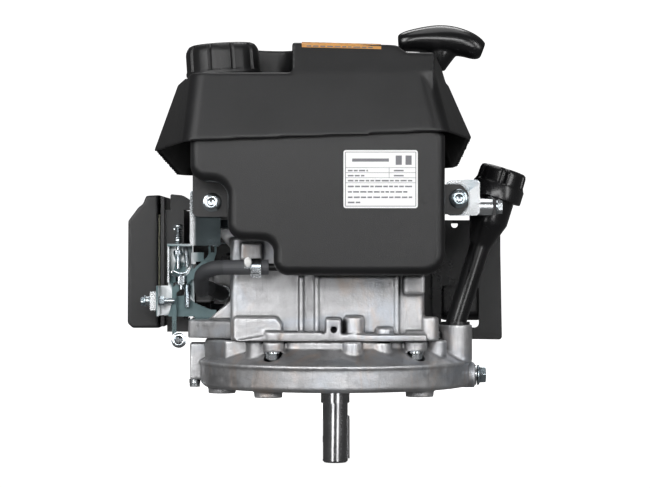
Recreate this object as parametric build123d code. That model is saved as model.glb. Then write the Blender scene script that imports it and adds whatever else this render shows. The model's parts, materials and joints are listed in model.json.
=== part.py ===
from build123d import *
from math import atan2, cos, degrees, radians, sin, sqrt, tan
import os

# Vertical-shaft, overhead-valve, single-cylinder petrol engine. Millimetres.
# Origin: output shaft axis at the plane of the mounting feet. +Z up the shaft,
# +Y towards the cylinder head, +X towards the oil filler.

# ---- driving dimensions ---------------------------------------------------------------------
BORE = 70.0
STROKE = 45.0
ROD_LENGTH = 84.0
CYL_Z = 98.0                  # height of the cylinder axis above the feet
DECK_Y = 135.0                # top of the cylinder barrel
CRANK_R = STROKE / 2
PIN_TOP_Y = CRANK_R + ROD_LENGTH

SHAFT_R = 11.1                # driven end of the output shaft
SHAFT_END_Z = -62.5
COLLAR_R = 12.7
COLLAR_Z = -10.0
JOURNAL_R = 12.7
RUN = 0.04                    # radial running clearance of every shaft in its bore

FOOT_CIRCLE = 203.2           # 8 inch bolt circle
FOOT_HOLE_R = 4.0
FOOT_R = 12.0
FOOT_H = 5.5
FOOT_ANGLES = (194.5, 314.5, 74.5)
EXTRA_FOOT_ANGLE = 236.0

SUMP_R = 118.0
SUMP_WALL = 6.0
SUMP_EDGE_Z = 28.0
SUMP_NECK_Z = 41.0
SPLIT_R = 98.0
SPLIT_Z = 47.2
GASKET_T = 0.8
CASE_Z = SPLIT_Z + GASKET_T

GEAR_MODULE = 2.0
CRANK_TEETH = 20
CAM_TEETH = 40
GEAR_Z = 22.0
GEAR_W = 10.0
CAM_X = 52.0
CAM_Y = sqrt((GEAR_MODULE * (CRANK_TEETH + CAM_TEETH) / 2) ** 2 - CAM_X ** 2)
LOBE_NOSE_R = 15.5
LOBE_BASE_R = 10.5
VALVE_Z = (82.0, 114.0)       # intake, exhaust
VALVE_X = 16.0
ROCKER_X = 34.0
ROCKER_Y = 188.0
LASH = 0.25
VALVE_LIFT = 5.0

FLYWHEEL_R = 76.0
FLYWHEEL_Z = 158.0

TANK_FRONT_Y = -150.0
TANK_BACK_Y = -88.0
TANK_WALL = 3.0

COVER_WALL = 3.0
CAP_X = -94.0
CAP_Y = -92.0
CAP_Z = 270.5
CAP_R = 32.0
CAP_H = 26.0

TUBE_LEAN = 17.5              # lean of the oil filler tube, degrees from vertical towards +X
TUBE_FOOT = (104.0, -30.0, 60.0)
TUBE_R = 8.8

HANDLE_X = 90.0
HANDLE_Y = -12.0
HANDLE_Z = 281.5
HANDLE_LEAN = 10.0

FEATHER = 0.2                 # gap left between parts that only lie beside each other


# ---- helpers --------------------------------------------------------------------------------
def block(x0, x1, y0, y1, z0, z1):
    """Box between two corners."""
    centre = Pos((x0 + x1) / 2, (y0 + y1) / 2, (z0 + z1) / 2)
    return centre * Box(x1 - x0, y1 - y0, z1 - z0)


def rod_z(x, y, z0, z1, r):
    """Round bar along Z."""
    return Pos(x, y, (z0 + z1) / 2) * Cylinder(r, z1 - z0)


def rod_y(x, z, y0, y1, r):
    """Round bar along Y."""
    return Pos(x, (y0 + y1) / 2, z) * Rot(90, 0, 0) * Cylinder(r, y1 - y0)


def rod_x(y, z, x0, x1, r):
    """Round bar along X."""
    return Pos((x0 + x1) / 2, y, z) * Rot(0, 90, 0) * Cylinder(r, x1 - x0)


def hexagon_z(x, y, z0, z1, across):
    """Hexagonal bar along Z, measured across its flats."""
    flat = RegularPolygon(across / 2, 6, major_radius=False)
    return Pos(x, y, z0) * extrude(flat, z1 - z0)


def hexagon_x(y, z, x0, x1, across):
    """Hexagonal bar along X."""
    return Pos(x0, y, z) * Rot(0, 90, 0) * hexagon_z(0, 0, 0, x1 - x0, across)


def hexagon_y(x, z, y0, y1, across):
    """Hexagonal bar along Y."""
    return Pos(x, y0, z) * Rot(-90, 0, 0) * hexagon_z(0, 0, 0, y1 - y0, across)


def plate_xz(points, y0, y1, radius=0.0):
    """Plate whose outline lies in X and Z, between two depths."""
    face = make_face(Polyline(*points, close=True))
    if radius > 0:
        face = fillet(face.vertices(), radius)
    return Pos(0, y1, 0) * Rot(90, 0, 0) * extrude(face, y1 - y0)


def plate_yz(points, x0, x1, radius=0.0):
    """Plate whose outline lies in Y and Z, between two widths."""
    face = make_face(Polyline(*points, close=True))
    if radius > 0:
        face = fillet(face.vertices(), radius)
    return Plane.YZ.offset(x0) * extrude(face, x1 - x0)


def plate_xy(points, z0, z1, radius=0.0):
    """Plate whose outline lies in X and Y, between two heights."""
    face = make_face(Polyline(*points, close=True))
    if radius > 0:
        face = fillet(face.vertices(), radius)
    return Pos(0, 0, z0) * extrude(face, z1 - z0)


def turned(*profile):
    """Solid of revolution about Z from (radius, height) points."""
    face = make_face(Polyline(*profile, close=True))
    return revolve(Rot(90, 0, 0) * face, Axis.Z)


def soft_box(x0, x1, y0, y1, z0, z1, radius):
    """Box with every edge rounded."""
    body = block(x0, x1, y0, y1, z0, z1)
    return fillet(body.edges(), radius)


def piped(points, bend, r):
    """Round bar along straight runs joined by tangent arcs."""
    path = FilletPolyline(*points, radius=bend)
    start = Plane(path @ 0, z_dir=path % 0)
    return sweep(start * Circle(r), path=path)


def coil(x, y, z0, z1, radius, wire, turns):
    """Spring drawn as a stack of closed rings along Z."""
    pitch = (z1 - z0 - 2 * wire) / (turns - 1)
    ring = Torus(radius, wire)
    return [Pos(x, y, z0 + wire + i * pitch) * ring for i in range(turns)]


def polar(radius, angle):
    """Point on a circle about the shaft."""
    return radius * cos(radians(angle)), radius * sin(radians(angle))


def spur_gear(teeth, thickness):
    """Spur gear on Z with straight-flanked teeth thinned for backlash."""
    pitch_r = GEAR_MODULE * teeth / 2
    root_r = pitch_r - 1.25 * GEAR_MODULE
    tip_r = pitch_r + 0.95 * GEAR_MODULE
    half_root = degrees(0.92 * GEAR_MODULE / root_r)
    half_tip = degrees(0.36 * GEAR_MODULE / tip_r)
    tooth_face = make_face(Polyline(
        polar(root_r - 1, -half_root),
        polar(root_r, -half_root),
        polar(tip_r, -half_tip),
        polar(tip_r, half_tip),
        polar(root_r, half_root),
        polar(root_r - 1, half_root),
        close=True,
    ))
    outline = Circle(root_r)
    outline += [Rot(0, 0, 360 * i / teeth) * tooth_face for i in range(teeth)]
    return extrude(outline, thickness)


def group(shapes):
    """Separate solids kept in one node."""
    solids = []
    for shape in shapes:
        solids.extend(shape.solids())
    return Compound(children=solids)


# ---- lower casting --------------------------------------------------------------------------
SUMP_FLOOR_Z = 12.0
BEARING_TOP_Z = 20.0
CAM_BOSS_TOP_Z = 20.5
CAM_JOURNAL_R = 7.0
FILLER_BOSS_R = 14.5
FILLER_BOSS_TOP_Z = 59.6
DRAIN_Y = -12.0
DRAIN_Z = 15.0
DRAIN_R = 5.0
CASE_BOLT_CIRCLE_R = 105.0
CASE_BOLT_ANGLES = (14, 62, 118, 168, 240, 310)
CASE_BOLT_R = 3.0
LUG_R = 9.0
BOLT_SEAT_Z = 39.0            # bolt heads sit in pockets on the sump's shoulder
SEAL_R = 18.0
LIP = 1.2                     # cast lip round the top of the rim
RIB_Z = 7.5                   # middle of the ribs in the recessed underside


def sump():
    """Oil pan with feet, lower main bearing, drain boss and oil filler boss."""
    wall = SUMP_WALL
    outer = turned(
        (0, FOOT_H), (SUMP_R - 3, FOOT_H), (SUMP_R, FOOT_H + 3), (SUMP_R, SUMP_EDGE_Z - 2.4),
        (SUMP_R + LIP, SUMP_EDGE_Z - 2.4), (SUMP_R + LIP, SUMP_EDGE_Z), (SUMP_R - 1, SUMP_EDGE_Z + 0.6),
        (SPLIT_R, SUMP_NECK_Z), (SPLIT_R, SPLIT_Z), (0, SPLIT_Z),
    )
    inner = turned(
        (0, SUMP_FLOOR_Z), (SUMP_R - wall, SUMP_FLOOR_Z), (SUMP_R - wall, SUMP_EDGE_Z - 1),
        (SPLIT_R - wall, SUMP_NECK_Z - 1), (SPLIT_R - wall, SPLIT_Z + 1), (0, SPLIT_Z + 1),
    )
    # the left side stands straight up to the joint
    outer += plate_xy([(-113, -28), (-113, 22), (-94, 56), (-70, 60), (-70, -72), (-94, -62)],
                      SUMP_EDGE_Z - 8, SPLIT_Z)
    for angle in CASE_BOLT_ANGLES:
        x, y = polar(CASE_BOLT_CIRCLE_R, angle)
        outer += rod_z(x, y, BOLT_SEAT_Z, SPLIT_Z, LUG_R)
    # round bosses under the split line
    outer += rod_z(14, -SPLIT_R + 1, 34, SPLIT_Z, 8)
    outer += rod_z(39, -SPLIT_R + 11, 34, SPLIT_Z - 1, 8)
    outer += rod_z(-66, -SPLIT_R + 22, 32, SPLIT_Z, 10)
    outer += rod_z(86, -SPLIT_R + 42, 34, SPLIT_Z, 9)
    body = outer - inner
    body -= rod_z(0, 0, 0, FOOT_H + 3, 109)
    body += rod_z(0, 0, 0, BEARING_TOP_Z, 24)
    body += rod_z(CAM_X, CAM_Y, FOOT_H, CAM_BOSS_TOP_Z, 13)
    for angle in FOOT_ANGLES + (EXTRA_FOOT_ANGLE,):
        x, y = polar(FOOT_CIRCLE / 2, angle)
        body += rod_z(x, y, 0, SUMP_EDGE_Z - 3, FOOT_R)
    for i in range(12):
        body += Pos(0, 0, RIB_Z) * Rot(0, 0, 15 + 30 * i) * Pos(66, 0, 0) * Box(92, 4, 3)
    # oil filler boss, drain boss and the tall boss beside the air cleaner
    body += rod_z(TUBE_FOOT[0], TUBE_FOOT[1], 27.5, FILLER_BOSS_TOP_Z, FILLER_BOSS_R)
    body += block(96, 115, DRAIN_Y - 12, DRAIN_Y + 12, FOOT_H, SUMP_EDGE_Z)
    body += rod_x(DRAIN_Y, DRAIN_Z, 100, 122, 11)
    body += block(-127, -108, -14, 8, 11, 43)
    body -= block(-121, -119.6, -15, -13, 11, 43)
    # holes
    body -= rod_z(0, 0, -1, BEARING_TOP_Z + 1, JOURNAL_R + RUN)
    body -= rod_z(0, 0, -1, 7, SEAL_R)
    body -= rod_z(CAM_X, CAM_Y, 9, CAM_BOSS_TOP_Z + 1, CAM_JOURNAL_R + RUN)
    for angle in FOOT_ANGLES:
        x, y = polar(FOOT_CIRCLE / 2, angle)
        body -= rod_z(x, y, -1, 22, FOOT_HOLE_R)
    for angle in CASE_BOLT_ANGLES:
        x, y = polar(CASE_BOLT_CIRCLE_R, angle)
        body -= rod_z(x, y, BOLT_SEAT_Z - 1, SPLIT_Z + 1, CASE_BOLT_R + 0.3)
        body -= rod_z(x, y, BOLT_SEAT_Z - 9, BOLT_SEAT_Z, LUG_R - 1) - rod_z(0, 0, 0, 60, SPLIT_R - 2)
    body -= rod_z(TUBE_FOOT[0], TUBE_FOOT[1], 24, FILLER_BOSS_TOP_Z + 1, TUBE_R + FEATHER)
    body -= rod_z(TUBE_FOOT[0], TUBE_FOOT[1], 54, FILLER_BOSS_TOP_Z + 1, TUBE_R + 1)
    body -= rod_x(DRAIN_Y, DRAIN_Z, 90, 123, DRAIN_R)
    return body


def drain_plug():
    """Zinc plated hexagon plug with a flange."""
    plug = rod_x(DRAIN_Y, DRAIN_Z, 108, 122, DRAIN_R - 0.1)
    plug += rod_x(DRAIN_Y, DRAIN_Z, 122, 124.5, 9)
    plug += hexagon_x(DRAIN_Y, DRAIN_Z, 124.5, 132, 13)
    return plug


def crank_seals():
    """Rubber lip seals in the bottom and top bearing bosses."""
    lower = rod_z(0, 0, 0.6, 6.8, SEAL_R - 0.05) - rod_z(0, 0, 0, 8, JOURNAL_R + RUN)
    return lower


# ---- upper casting --------------------------------------------------------------------------
CASE_TOP_Z = 134.0
CASE_FRONT_Y = -86.0
CASE_LEFT_X = -89.0
CASE_RIGHT_X = 86.0
CASE_BACK_Y = 64.0
CASE_WALL = 8.0
UPPER_BEARING_TOP_Z = 150.0
BARREL_R = 43.0
FIN_T = 2.6
FIN_GAP = 10.0


def case_gasket():
    """Thin paper gasket between the castings."""
    body = rod_z(0, 0, SPLIT_Z, CASE_Z, SPLIT_R)
    for angle in CASE_BOLT_ANGLES:
        x, y = polar(CASE_BOLT_CIRCLE_R, angle)
        body += rod_z(x, y, SPLIT_Z, CASE_Z, LUG_R)
    body -= rod_z(0, 0, SPLIT_Z - 1, CASE_Z + 1, SPLIT_R - SUMP_WALL)
    for angle in CASE_BOLT_ANGLES:
        x, y = polar(CASE_BOLT_CIRCLE_R, angle)
        body -= rod_z(x, y, SPLIT_Z - 1, CASE_Z + 1, CASE_BOLT_R + 0.3)
    body -= rod_z(TUBE_FOOT[0], TUBE_FOOT[1], SPLIT_Z - 1, CASE_Z + 1, FILLER_BOSS_R + 0.3)
    return body


def crankcase():
    """Upper casting: crank chamber, upper bearing, finned barrel and pushrod gallery."""
    flange_top = CASE_Z + 6
    front = CASE_FRONT_Y + 4
    chamber = block(CASE_LEFT_X, CASE_RIGHT_X - 11, front, CASE_BACK_Y, CASE_Z, CASE_TOP_Z)
    body = fillet(chamber.edges().filter_by(Axis.Z), 5)
    body += rod_z(0, 0, CASE_Z, flange_top, SPLIT_R)
    for angle in CASE_BOLT_ANGLES:
        x, y = polar(CASE_BOLT_CIRCLE_R, angle)
        body += rod_z(x, y, CASE_Z, flange_top + 2, LUG_R)
    wing = plate_xy([(-128, -26), (-128, 34), (-80, 60), (-80, -60)], CASE_Z, flange_top + 10, 4)
    body += fillet(wing.faces().sort_by(Axis.Z)[-1].edges(), 2.5)
    body += rod_z(0, 0, CASE_TOP_Z - 2, UPPER_BEARING_TOP_Z, 26)
    # front face: pads, ribs, panels and bosses
    pad = plate_xz([(-86, 48), (-45, 48), (-45, 62), (-50, 68), (-86, 68)], front - 13, front + 2, 3)
    body += fillet(pad.faces().sort_by(Axis.Y)[0].edges(), 2)
    body += plate_xz([(-84, 48), (76, 48), (76, 53), (-6, 53), (-12, 55), (-44, 55)], front - 15, front + 2)
    body += plate_xz([(-13, 50), (50, 50), (50, 102), (-13, 102)], front - 2.4, front + 2, 2)
    for x in (-29, -16, 51.5):
        body += soft_box(x - 1.8, x + 1.8, front - 4, front + 4, 49, 102.5, 1.2)
    hole_boss = block(-8.5, 4.5, front - 16, front + 2, CASE_Z, 67)
    body += fillet(hole_boss.edges().filter_by(Axis.Y) + hole_boss.faces().sort_by(Axis.Y)[0].edges(), 1.8)
    for x, top, r in ((15.5, 68.5, 8.2), (41, 59, 7.5)):
        boss = rod_z(x, front - 6, CASE_Z, top, r)
        body += fillet(boss.faces().sort_by(Axis.Z)[-1].edges(), 2)
        body += block(x - r, x + r, front - 6, front + 2, CASE_Z, top - 2)
    body += soft_box(57, 75, front - 9, front + 8, 87, 103, 2.5)
    corner = rod_z(79, front + 4, CASE_Z, 68, 8)
    body += fillet(corner.faces().sort_by(Axis.Z)[-1].edges(), 2)
    body += block(72, 87, front + 4, front + 30, CASE_Z, 66)
    body += plate_xz([(-115, 60), (-85, 60), (-85, 86)], -25, -17)
    body += plate_xz([(-104, 143), (-90, 143), (-72, 124), (-72, 106)], front + 8, front + 14)
    body += block(-80, -62, front - 7, front + 6, 116, 130)
    # finned barrel with the pushrod gallery
    body += rod_y(0, CYL_Z, CASE_BACK_Y - 8, DECK_Y, BARREL_R)
    body += block(44, 61, CASE_BACK_Y, DECK_Y, 72, 124)
    count = int((DECK_Y - CASE_BACK_Y) // FIN_GAP)
    for i in range(count):
        y = CASE_BACK_Y + 6 + i * FIN_GAP
        body += plate_xz([(-54, 48), (62, 48), (62, 148), (-54, 148)], y, y + FIN_T, 16)
    # chamber, bore and shaft bores
    inside = block(CASE_LEFT_X + CASE_WALL, CASE_RIGHT_X - 11 - CASE_WALL + 2, front + CASE_WALL,
                   CASE_BACK_Y - CASE_WALL, CASE_Z - 1, CASE_TOP_Z - CASE_WALL)
    body -= inside
    body -= rod_z(0, 0, CASE_Z - 1, flange_top - 1, SPLIT_R - SUMP_WALL) & \
        block(-SPLIT_R, SPLIT_R, -60, SPLIT_R, CASE_Z - 1, flange_top)
    body -= rod_y(0, CYL_Z, CASE_BACK_Y - 20, DECK_Y + 1, BORE / 2)
    body -= block(47.5, 56.5, CASE_BACK_Y - 1, DECK_Y + 1, 77, 119)
    for z in VALVE_Z:
        body -= rod_y(CAM_X, z, 50, CASE_BACK_Y + 12, TAPPET_R + RUN)
    body -= rod_z(0, 0, 110, UPPER_BEARING_TOP_Z + 1, JOURNAL_R + RUN)
    body -= rod_z(CAM_X, CAM_Y, 110, CASE_TOP_Z - 2, CAM_JOURNAL_R + RUN)
    body -= rod_y(-1.6, 57.7, front - 17, front - 6, 2.6)
    body -= rod_z(TUBE_FOOT[0], TUBE_FOOT[1], CASE_Z - 1, FILLER_BOSS_TOP_Z + 4, FILLER_BOSS_R + 0.3)
    for angle in CASE_BOLT_ANGLES:
        x, y = polar(CASE_BOLT_CIRCLE_R, angle)
        body -= rod_z(x, y, CASE_Z - 1, flange_top, CASE_BOLT_R)
    return body


def case_bolts():
    """Flange bolts that clamp the two castings, put in from below."""
    bolts = []
    for angle in CASE_BOLT_ANGLES:
        x, y = polar(CASE_BOLT_CIRCLE_R, angle)
        bolt = rod_z(x, y, BOLT_SEAT_Z, CASE_Z + 5, CASE_BOLT_R - 0.1)
        bolt += rod_z(x, y, BOLT_SEAT_Z - 1.6, BOLT_SEAT_Z, 6.4)
        bolt += hexagon_z(x, y, BOLT_SEAT_Z - 7, BOLT_SEAT_Z - 1.6, 10)
        bolts.append(bolt)
    # bolt under the tall boss on the left
    tall = rod_z(-123.4, -3, 7.5, 11, 4.9) + hexagon_z(-123.4, -3, 4, 7.5, 8)
    bolts.append(tall)
    return group(bolts)


# ---- cylinder head --------------------------------------------------------------------------
HEAD_Y = DECK_Y
VALVE_FLOOR_Y = 160.0
COVER_END_Y = 204.5
TAPPET_R = 5.0
STEM_R = 2.75
PORT_Z = 98.0
PLUG_X = -24.0
LEAD_Z = 188.0
COIL_TOP_Z = 180.0


def cylinder_head():
    """Head with combustion chamber, two ports, rocker shaft posts and fins."""
    body = plate_xz([(-54, 48), (62, 48), (62, 148), (-54, 148)], HEAD_Y, VALVE_FLOOR_Y, 14)
    for i in range(2):
        y = HEAD_Y + 8 + 8.5 * i
        slot = block(-60, 70, y, y + 4.5, 40, 160)
        slot -= plate_xz([(-34, 64), (60, 64), (60, 134), (-34, 134)], y, y + 4.5, 6)
        slot -= block(-60, -30, y, y + 4.5, 80, 116)
        body -= slot
    body -= rod_y(0, CYL_Z, HEAD_Y - 1, HEAD_Y + 10, BORE / 2)
    for z, head_r in zip(VALVE_Z, (12.0, 11.0)):
        body += rod_y(VALVE_X, z, VALVE_FLOOR_Y - 4, VALVE_FLOOR_Y + 3, 6)
        body -= rod_y(VALVE_X, z, HEAD_Y + 9, HEAD_Y + 17, head_r - 2)
        body -= rod_y(VALVE_X, z, HEAD_Y + 8, VALVE_FLOOR_Y + 5, STEM_R + RUN)
        body -= rod_y(CAM_X, z, HEAD_Y - 1, VALVE_FLOOR_Y + 1, 4.5)
    # intake port leaves on the left, exhaust port on the right
    body -= rod_x(HEAD_Y + 13, VALVE_Z[0], -55, VALVE_X, 5)
    body -= rod_x(HEAD_Y + 13, VALVE_Z[1], VALVE_X, 63, 5)
    # rocker shaft on three posts
    for z0 in (66.0, 95.0, 124.0):
        body += block(ROCKER_X - 6, ROCKER_X + 6, VALVE_FLOOR_Y - 1, ROCKER_Y + 6, z0, z0 + 6)
    body += rod_z(ROCKER_X, ROCKER_Y, 66, 130, 4)
    body += rod_y(PLUG_X, CYL_Z, VALVE_FLOOR_Y - 4, VALVE_FLOOR_Y + 2, 12)
    body -= rod_y(PLUG_X, CYL_Z, HEAD_Y + 9, VALVE_FLOOR_Y + 3, 7)
    return body


def rocker_cover():
    """Pressed steel cover over the valve gear."""
    y0 = VALVE_FLOOR_Y
    body = plate_xz([(-4, 58), (66, 58), (66, 138), (-4, 138)], y0, y0 + 2, 9)
    shell = block(1, 61, y0, COVER_END_Y, 61.5, 134.5)
    shell = fillet(shell.edges().filter_by(Axis.Y), 8)
    shell = fillet(shell.faces().sort_by(Axis.Y)[-1].edges(), 5)
    body += shell
    body -= block(3.2, 58.8, y0 - 1, COVER_END_Y - 1.8, 63.5, 132.5)
    for x, z in ((4, 58), (58, 58), (4, 138), (58, 138)):
        corner = 1 if z < 100 else -1
        body += rod_y(x + (2 if x < 30 else -2), z + 3 * corner, y0, y0 + 6, 4)
    return body


def spark_plug():
    """Spark plug with thread, hexagon and ribbed insulator."""
    y = VALVE_FLOOR_Y + 2
    plug = rod_y(PLUG_X, CYL_Z, HEAD_Y + 10, y, 6.9)
    plug += hexagon_y(PLUG_X, CYL_Z, y, y + 9, 20.6)
    plug += rod_y(PLUG_X, CYL_Z, y + 9, y + 30, 5)
    plug += rod_y(PLUG_X, CYL_Z, y + 30, y + 36, 3)
    plug += rod_y(PLUG_X, CYL_Z, HEAD_Y + 6, HEAD_Y + 10, 1.3)
    return plug


def plug_lead():
    """Rubber boot and ignition lead, led over the cooling duct to the coil."""
    y = VALVE_FLOOR_Y + 14
    end = y + 30
    coil_y = COIL_Y + 16
    boot = rod_y(PLUG_X, CYL_Z, y, end, 9) - rod_y(PLUG_X, CYL_Z, y - 1, y + 25.5, 5.2)
    lead = piped([(PLUG_X, end - 4, CYL_Z), (PLUG_X, end + 10, CYL_Z), (PLUG_X, end + 10, LEAD_Z),
                  (PLUG_X, coil_y + 30, LEAD_Z), (0, coil_y, LEAD_Z), (0, coil_y, COIL_TOP_Z)],
                 (9, 14, 14, 6), 3.5)
    return boot + lead


# ---- crank train ----------------------------------------------------------------------------
WEB_LOW_Z = 76.0
WEB_T = 11.5
ROD_W = 20.0
CRANKPIN_R = 14.0
TAPER_TOP_Z = 186.0
THREAD_TOP_Z = 206.0
KEY_W = 4.76


def crankshaft():
    """One-piece crankshaft with timing gear, keyed output end and flywheel taper."""
    body = rod_z(0, 0, SHAFT_END_Z, COLLAR_Z, SHAFT_R)
    body = chamfer(body.edges().sort_by(Axis.Z)[0], 1.5)
    body += rod_z(0, 0, COLLAR_Z, GEAR_Z, JOURNAL_R)
    body += Pos(0, 0, GEAR_Z) * spur_gear(CRANK_TEETH, GEAR_W)
    body += rod_z(0, 0, GEAR_Z + GEAR_W, WEB_LOW_Z, 15)
    pin_low = WEB_LOW_Z + WEB_T
    pin_high = pin_low + ROD_W + 1
    for z in (WEB_LOW_Z, pin_high):
        web = rod_z(0, 0, z, z + WEB_T, 40) - block(-41, 41, 12, 41, z, z + WEB_T)
        web += block(-17, 17, 0, CRANK_R, z, z + WEB_T)
        web += rod_z(0, CRANK_R, z, z + WEB_T, 17)
        body += web
    body += rod_z(0, CRANK_R, pin_low, pin_high, CRANKPIN_R)
    top = pin_high + WEB_T
    body += rod_z(0, 0, top, FLYWHEEL_Z, JOURNAL_R)
    body += Pos(0, 0, (FLYWHEEL_Z + TAPER_TOP_Z) / 2) * Cone(12, 9.2, TAPER_TOP_Z - FLYWHEEL_Z)
    body += rod_z(0, 0, TAPER_TOP_Z, THREAD_TOP_Z, 7)
    body -= block(SHAFT_R - 2.4, SHAFT_R + 2, -KEY_W / 2, KEY_W / 2, SHAFT_END_Z + 3.5, -21.5)
    for low in (-59.8, -39.6):
        body -= block(-SHAFT_R - 1, 1.6 - SHAFT_R, -KEY_W / 2, KEY_W / 2, low, low + 15)
    body -= rod_z(0, 0, SHAFT_END_Z - 1, SHAFT_END_Z + 30, 4.2)
    return body


def shaft_key():
    """Square key in the output end."""
    return block(SHAFT_R - 2.4, SHAFT_R + 1.6, -KEY_W / 2, KEY_W / 2, SHAFT_END_Z + 3.5, -21.5)


def flywheel():
    """Cast flywheel with magnets on the rim and fan blades on top."""
    z = FLYWHEEL_Z
    body = turned(
        (12, z), (24, z), (24, z + 4), (62, z + 4), (66, z - 4), (FLYWHEEL_R, z - 4),
        (FLYWHEEL_R, z + 26), (66, z + 26), (62, z + 14), (20, z + 14), (20, TAPER_TOP_Z),
        (9.2, TAPER_TOP_Z),
    )
    blade = block(40, 74, -1.4, 1.4, z + 12, z + 50)
    blade -= Pos(40, 0, z + 50) * Rot(0, 52, 0) * Box(60, 4, 20)
    for i in range(16):
        body += Rot(0, 0, 360 * i / 16) * Pos(0, 6, 0) * blade
    body += Rot(0, 0, 200) * (block(60, FLYWHEEL_R, -14, 14, z, z + 22) & rod_z(0, 0, z, z + 22, FLYWHEEL_R))
    return body


def starter_cup():
    """Steel starter cup and its nut on the crankshaft nose."""
    z = TAPER_TOP_Z
    body = turned(
        (7.0, z), (34, z), (36, z + 2), (36, z + 26), (34.2, z + 26), (34.2, z + 2.4),
        (33, z + 2), (7.0, z + 2),
    )
    for i in range(6):
        body -= Rot(0, 0, 60 * i) * Pos(35, 0, z + 15) * Box(8, 10, 12)
    body += hexagon_z(0, 0, z + 2, z + 12, 20) - rod_z(0, 0, z, z + 13, 7)
    return body


def conrod():
    """Connecting rod from the crankpin to the small end."""
    z0 = WEB_LOW_Z + WEB_T + 0.5
    z1 = z0 + ROD_W
    body = rod_z(0, CRANK_R, z0, z1, 19.0)
    body += rod_z(0, PIN_TOP_Y, CYL_Z - 8, CYL_Z + 8, 8)
    body += block(-6, 6, CRANK_R, PIN_TOP_Y, CYL_Z - 5, CYL_Z + 5)
    body -= rod_z(0, CRANK_R, z0 - 1, z1 + 1, CRANKPIN_R + RUN)
    body -= rod_z(0, PIN_TOP_Y, z0, z1, 5.5)
    return body


def wrist_pin():
    """Hollow wrist pin."""
    body = rod_z(0, PIN_TOP_Y, CYL_Z - 8, CYL_Z + 8, 5.5)
    return body - rod_z(0, PIN_TOP_Y, CYL_Z - 9, CYL_Z + 9, 3.2)


PISTON_R = BORE / 2 - RUN
CROWN_Y = DECK_Y - 0.5
SKIRT_Y = PIN_TOP_Y - 22
RING_YS = (CROWN_Y - 5, CROWN_Y - 10, CROWN_Y - 15)


def piston():
    """Piston, hollow underneath, with three ring grooves."""
    body = rod_y(0, CYL_Z, SKIRT_Y, CROWN_Y, PISTON_R)
    body -= rod_y(0, CYL_Z, SKIRT_Y - 1, CROWN_Y - 6.5, 32)
    body += rod_y(0, CYL_Z, CROWN_Y - 17, CROWN_Y - 2, PISTON_R) - rod_y(0, CYL_Z, CROWN_Y - 18, CROWN_Y - 1, 32)
    for y in RING_YS:
        groove = rod_y(0, CYL_Z, y, y + 1.6, PISTON_R + 1) - rod_y(0, CYL_Z, y - 1, y + 3, PISTON_R - 1.6)
        body -= groove
    return body


def piston_rings():
    """Three cast rings, each with an end gap."""
    rings = []
    for y in RING_YS:
        ring = rod_y(0, CYL_Z, y + 0.1, y + 1.5, BORE / 2) - rod_y(0, CYL_Z, y, y + 2, PISTON_R - 1.5)
        ring -= block(-0.3, 0.3, y - 1, y + 3, CYL_Z + 30, CYL_Z + 40)
        rings.append(ring)
    return group(rings)


# ---- valve gear -----------------------------------------------------------------------------
def lobe(z, turn):
    """One cam lobe: base circle, nose and the flanks between them."""
    nose_r = 5.0
    shape = rod_z(0, 0, z - 4, z + 4, LOBE_BASE_R)
    nose = rod_z(0, LOBE_NOSE_R - nose_r, z - 4, z + 4, nose_r)
    flank = plate_xy([(-LOBE_BASE_R + 0.6, 1), (LOBE_BASE_R - 0.6, 1),
                      (nose_r - 0.2, LOBE_NOSE_R - nose_r), (-nose_r + 0.2, LOBE_NOSE_R - nose_r)],
                     z - 4, z + 4)
    return Pos(CAM_X, CAM_Y, 0) * Rot(0, 0, turn) * (shape + nose + flank)


def camshaft():
    """Camshaft with gear and two lobes."""
    body = rod_z(CAM_X, CAM_Y, 9.5, GEAR_Z, CAM_JOURNAL_R)
    half_tooth = 180 / CAM_TEETH
    to_crank = degrees(atan2(-CAM_Y, -CAM_X))
    to_cam = degrees(atan2(CAM_Y, CAM_X))
    # the crank gear's phase where it faces the cam gear fixes the cam gear's phase
    crank_phase = (to_cam % (360 / CRANK_TEETH)) / (360 / CRANK_TEETH)
    turn = to_crank + half_tooth + crank_phase * (360 / CAM_TEETH)
    body += Pos(CAM_X, CAM_Y, GEAR_Z) * Rot(0, 0, turn) * spur_gear(CAM_TEETH, GEAR_W)
    body += rod_z(CAM_X, CAM_Y, GEAR_Z + GEAR_W, CASE_TOP_Z - CASE_WALL - 1, 8)
    body += rod_z(CAM_X, CAM_Y, 110, CASE_TOP_Z - 2.5, CAM_JOURNAL_R)
    body += lobe(VALVE_Z[0], 200)
    body += lobe(VALVE_Z[1], 95 + 180)
    return body


PUSHROD_TIP_R = 3.0


def pushrod(z):
    """Tappet with its pushrod, standing just clear of the cam nose."""
    foot = CAM_Y + LOBE_NOSE_R + 0.3
    tip = ROCKER_Y - LASH
    body = rod_y(CAM_X, z, foot, foot + 3, 8.5)
    body += rod_y(CAM_X, z, foot + 3, foot + 22, TAPPET_R)
    body += rod_y(CAM_X, z, foot + 21, tip - PUSHROD_TIP_R, PUSHROD_TIP_R)
    body += Pos(CAM_X, tip - PUSHROD_TIP_R, z) * Sphere(PUSHROD_TIP_R)
    return body


def valve(z, head_r):
    """Poppet valve with its spring retainer."""
    tip = ROCKER_Y - LASH
    y = HEAD_Y + 7
    cone = Pos(VALVE_X, y + 3.5, z) * Rot(-90, 0, 0) * Cone(head_r - 2, STEM_R, 4)
    body = rod_y(VALVE_X, z, y, y + 1.5, head_r)
    body += cone
    body += rod_y(VALVE_X, z, y + 1, tip - STEM_R, STEM_R)
    body += Pos(VALVE_X, tip - STEM_R, z) * Sphere(STEM_R)
    body += rod_y(VALVE_X, z, tip - 6, tip - 3.6, 8.5)
    return body


SPRING_WIRE = 1.0
SPRING_R = 7.4


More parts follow.
